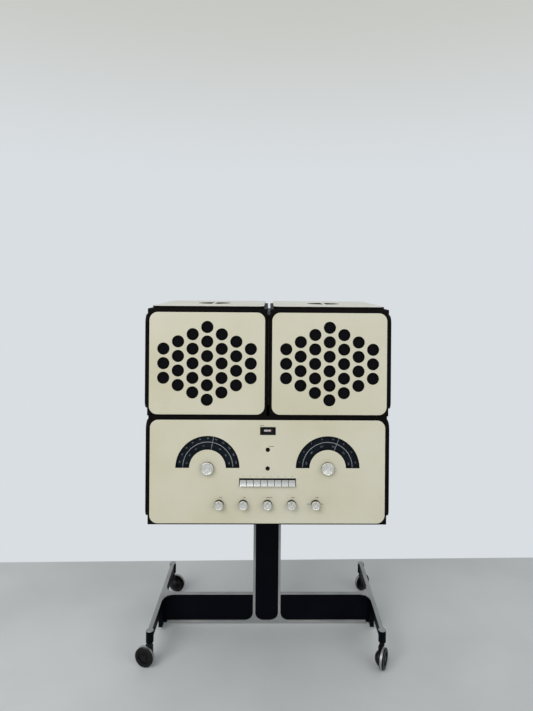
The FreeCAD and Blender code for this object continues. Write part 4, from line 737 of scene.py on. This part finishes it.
spin = head.add("FunctionNodeRandomValue", {"data_type": "FLOAT"}, {2: 0.0, 3: math.pi, "Seed": 4}, out=1)
stood = head.add("FunctionNodeEulerToRotation", values={0: head.add(
    "ShaderNodeCombineXYZ", values={0: -math.pi / 2, 1: spin})})
planted = head.add("GeometryNodeInstanceOnPoints", values={
    "Points": entry["Geometry"], "Instance": slotted, "Rotation": stood})
endTree(planted, screwZinc)
for panel, body in (("main_back_panel", "root"), ("left_speaker_back_panel", "left_speaker"),
                    ("right_speaker_back_panel", "right_speaker")):
    low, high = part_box(panel)
    inset = screws["inset"]
    columns = (low.x + inset, (low.x + high.x) / 2, high.x - inset)
    rows = (low.z + screws["endInset"], high.z - screws["endInset"])
    seat = high.y + screws["height"] / 2 - screws["sunk"]
    spots = [(x, seat, z) for x in columns for z in rows]
    seeds = bpy.data.meshes.new(panel + "Spots")
    seeds.from_pydata(spots, [], [])
    mesh = grow(panel + "Screws", tree, {"Radius": screws["radius"], "Height": screws["height"],
                                         "Slot": screws["slot"]}, seeds)
    makePiece(panel + "Screws", mesh, body)
print("screws in")

# floor, light and camera
room = {"floorHalf": 6.0, "floorBack": 0.357, "wallTurn": 0.0178, "floor": "cbcdcc", "dust": "bcbebd",
        "wall": "d9dee2", "wallTop": "c6c7c1", "fade": (0.16, 0.52), "light": 0.7}
floorMesh = bpy.data.meshes.new("floor")
half = room["floorHalf"]
ends = [(x, room["floorBack"] + x * room["wallTurn"], 0) for x in (half, -half)]
floorMesh.from_pydata([(-half, -half, 0), (half, -half, 0), *ends], [], [(0, 1, 2, 3)])
floor = bpy.data.objects.new("floor", floorMesh)
bpy.context.scene.collection.objects.link(floor)
floorLook = plainFinish(room["floor"], room["dust"], 1.5, 60, 0.6, 0.1)
floorMesh.materials.append(finish("paleFloor", floorLook, {}))

world = bpy.data.worlds.new("paleRoom")
bpy.context.scene.world = world
world.use_nodes = True
background = world.node_tree.nodes["Background"]
air = Wire(world.node_tree)
ray = air.add("ShaderNodeLightPath", out="Is Camera Ray")
seen = [Wire(world.node_tree, ray.socket.node.outputs[label])
        for label in ("Is Camera Ray", "Is Glossy Ray", "Is Transmission Ray")]
shown = air.maths("MAXIMUM", air.maths("MAXIMUM", seen[0], seen[1]), seen[2])
# painted shade on the wall behind: it gets darker towards the top of the picture, for camera rays only
height = split(air.add("ShaderNodeTexCoord", out="Generated"))[2]
fade = smooth(height, *room["fade"]) * seen[0]
wallColour = blended(fade, tint(room["wall"]), tint(room["wallTop"]))
world.node_tree.links.new(wallColour.socket, background.inputs["Color"])
strength = room["light"] + shown * (1 - room["light"])
world.node_tree.links.new(strength.socket, background.inputs["Strength"])

lamps = {"key": ((-1.7, -2.4, 2.6), 2.2, 66.0), "fill": ((2.2, -2.2, 1.8), 2.4, 24.0)}
lampAim = Vector((0, 0, 0.5))
for name, (spot, size, power) in lamps.items():
    light = bpy.data.lights.new(name, "AREA")
    light.size = size
    light.energy = power
    lamp = bpy.data.objects.new(name, light)
    bpy.context.scene.collection.objects.link(lamp)
    lamp.location = spot
    lamp.rotation_euler = (lampAim - Vector(spot)).to_track_quat("-Z", "Y").to_euler()

view = {"place": (0.003, -1.5505, 1.0), "lens": 27.04, "across": -0.0162, "down": -0.1062,
        "roll": -0.45, "turn": -0.83}
camera = bpy.data.cameras.new("camera")
camera.lens = view["lens"]
camera.sensor_width = 36.0
camera.shift_x = view["across"]
camera.shift_y = view["down"]
camera.clip_start = 0.05
cameraObject = bpy.data.objects.new("camera", camera)
bpy.context.scene.collection.objects.link(cameraObject)
cameraObject.location = view["place"]
cameraObject.rotation_euler = (math.radians(90), math.radians(view["roll"]), math.radians(view["turn"]))
bpy.context.scene.camera = cameraObject
bpy.context.scene.view_settings.view_transform = "Standard"
print("room, lamps and camera set")

bpy.context.view_layer.update()
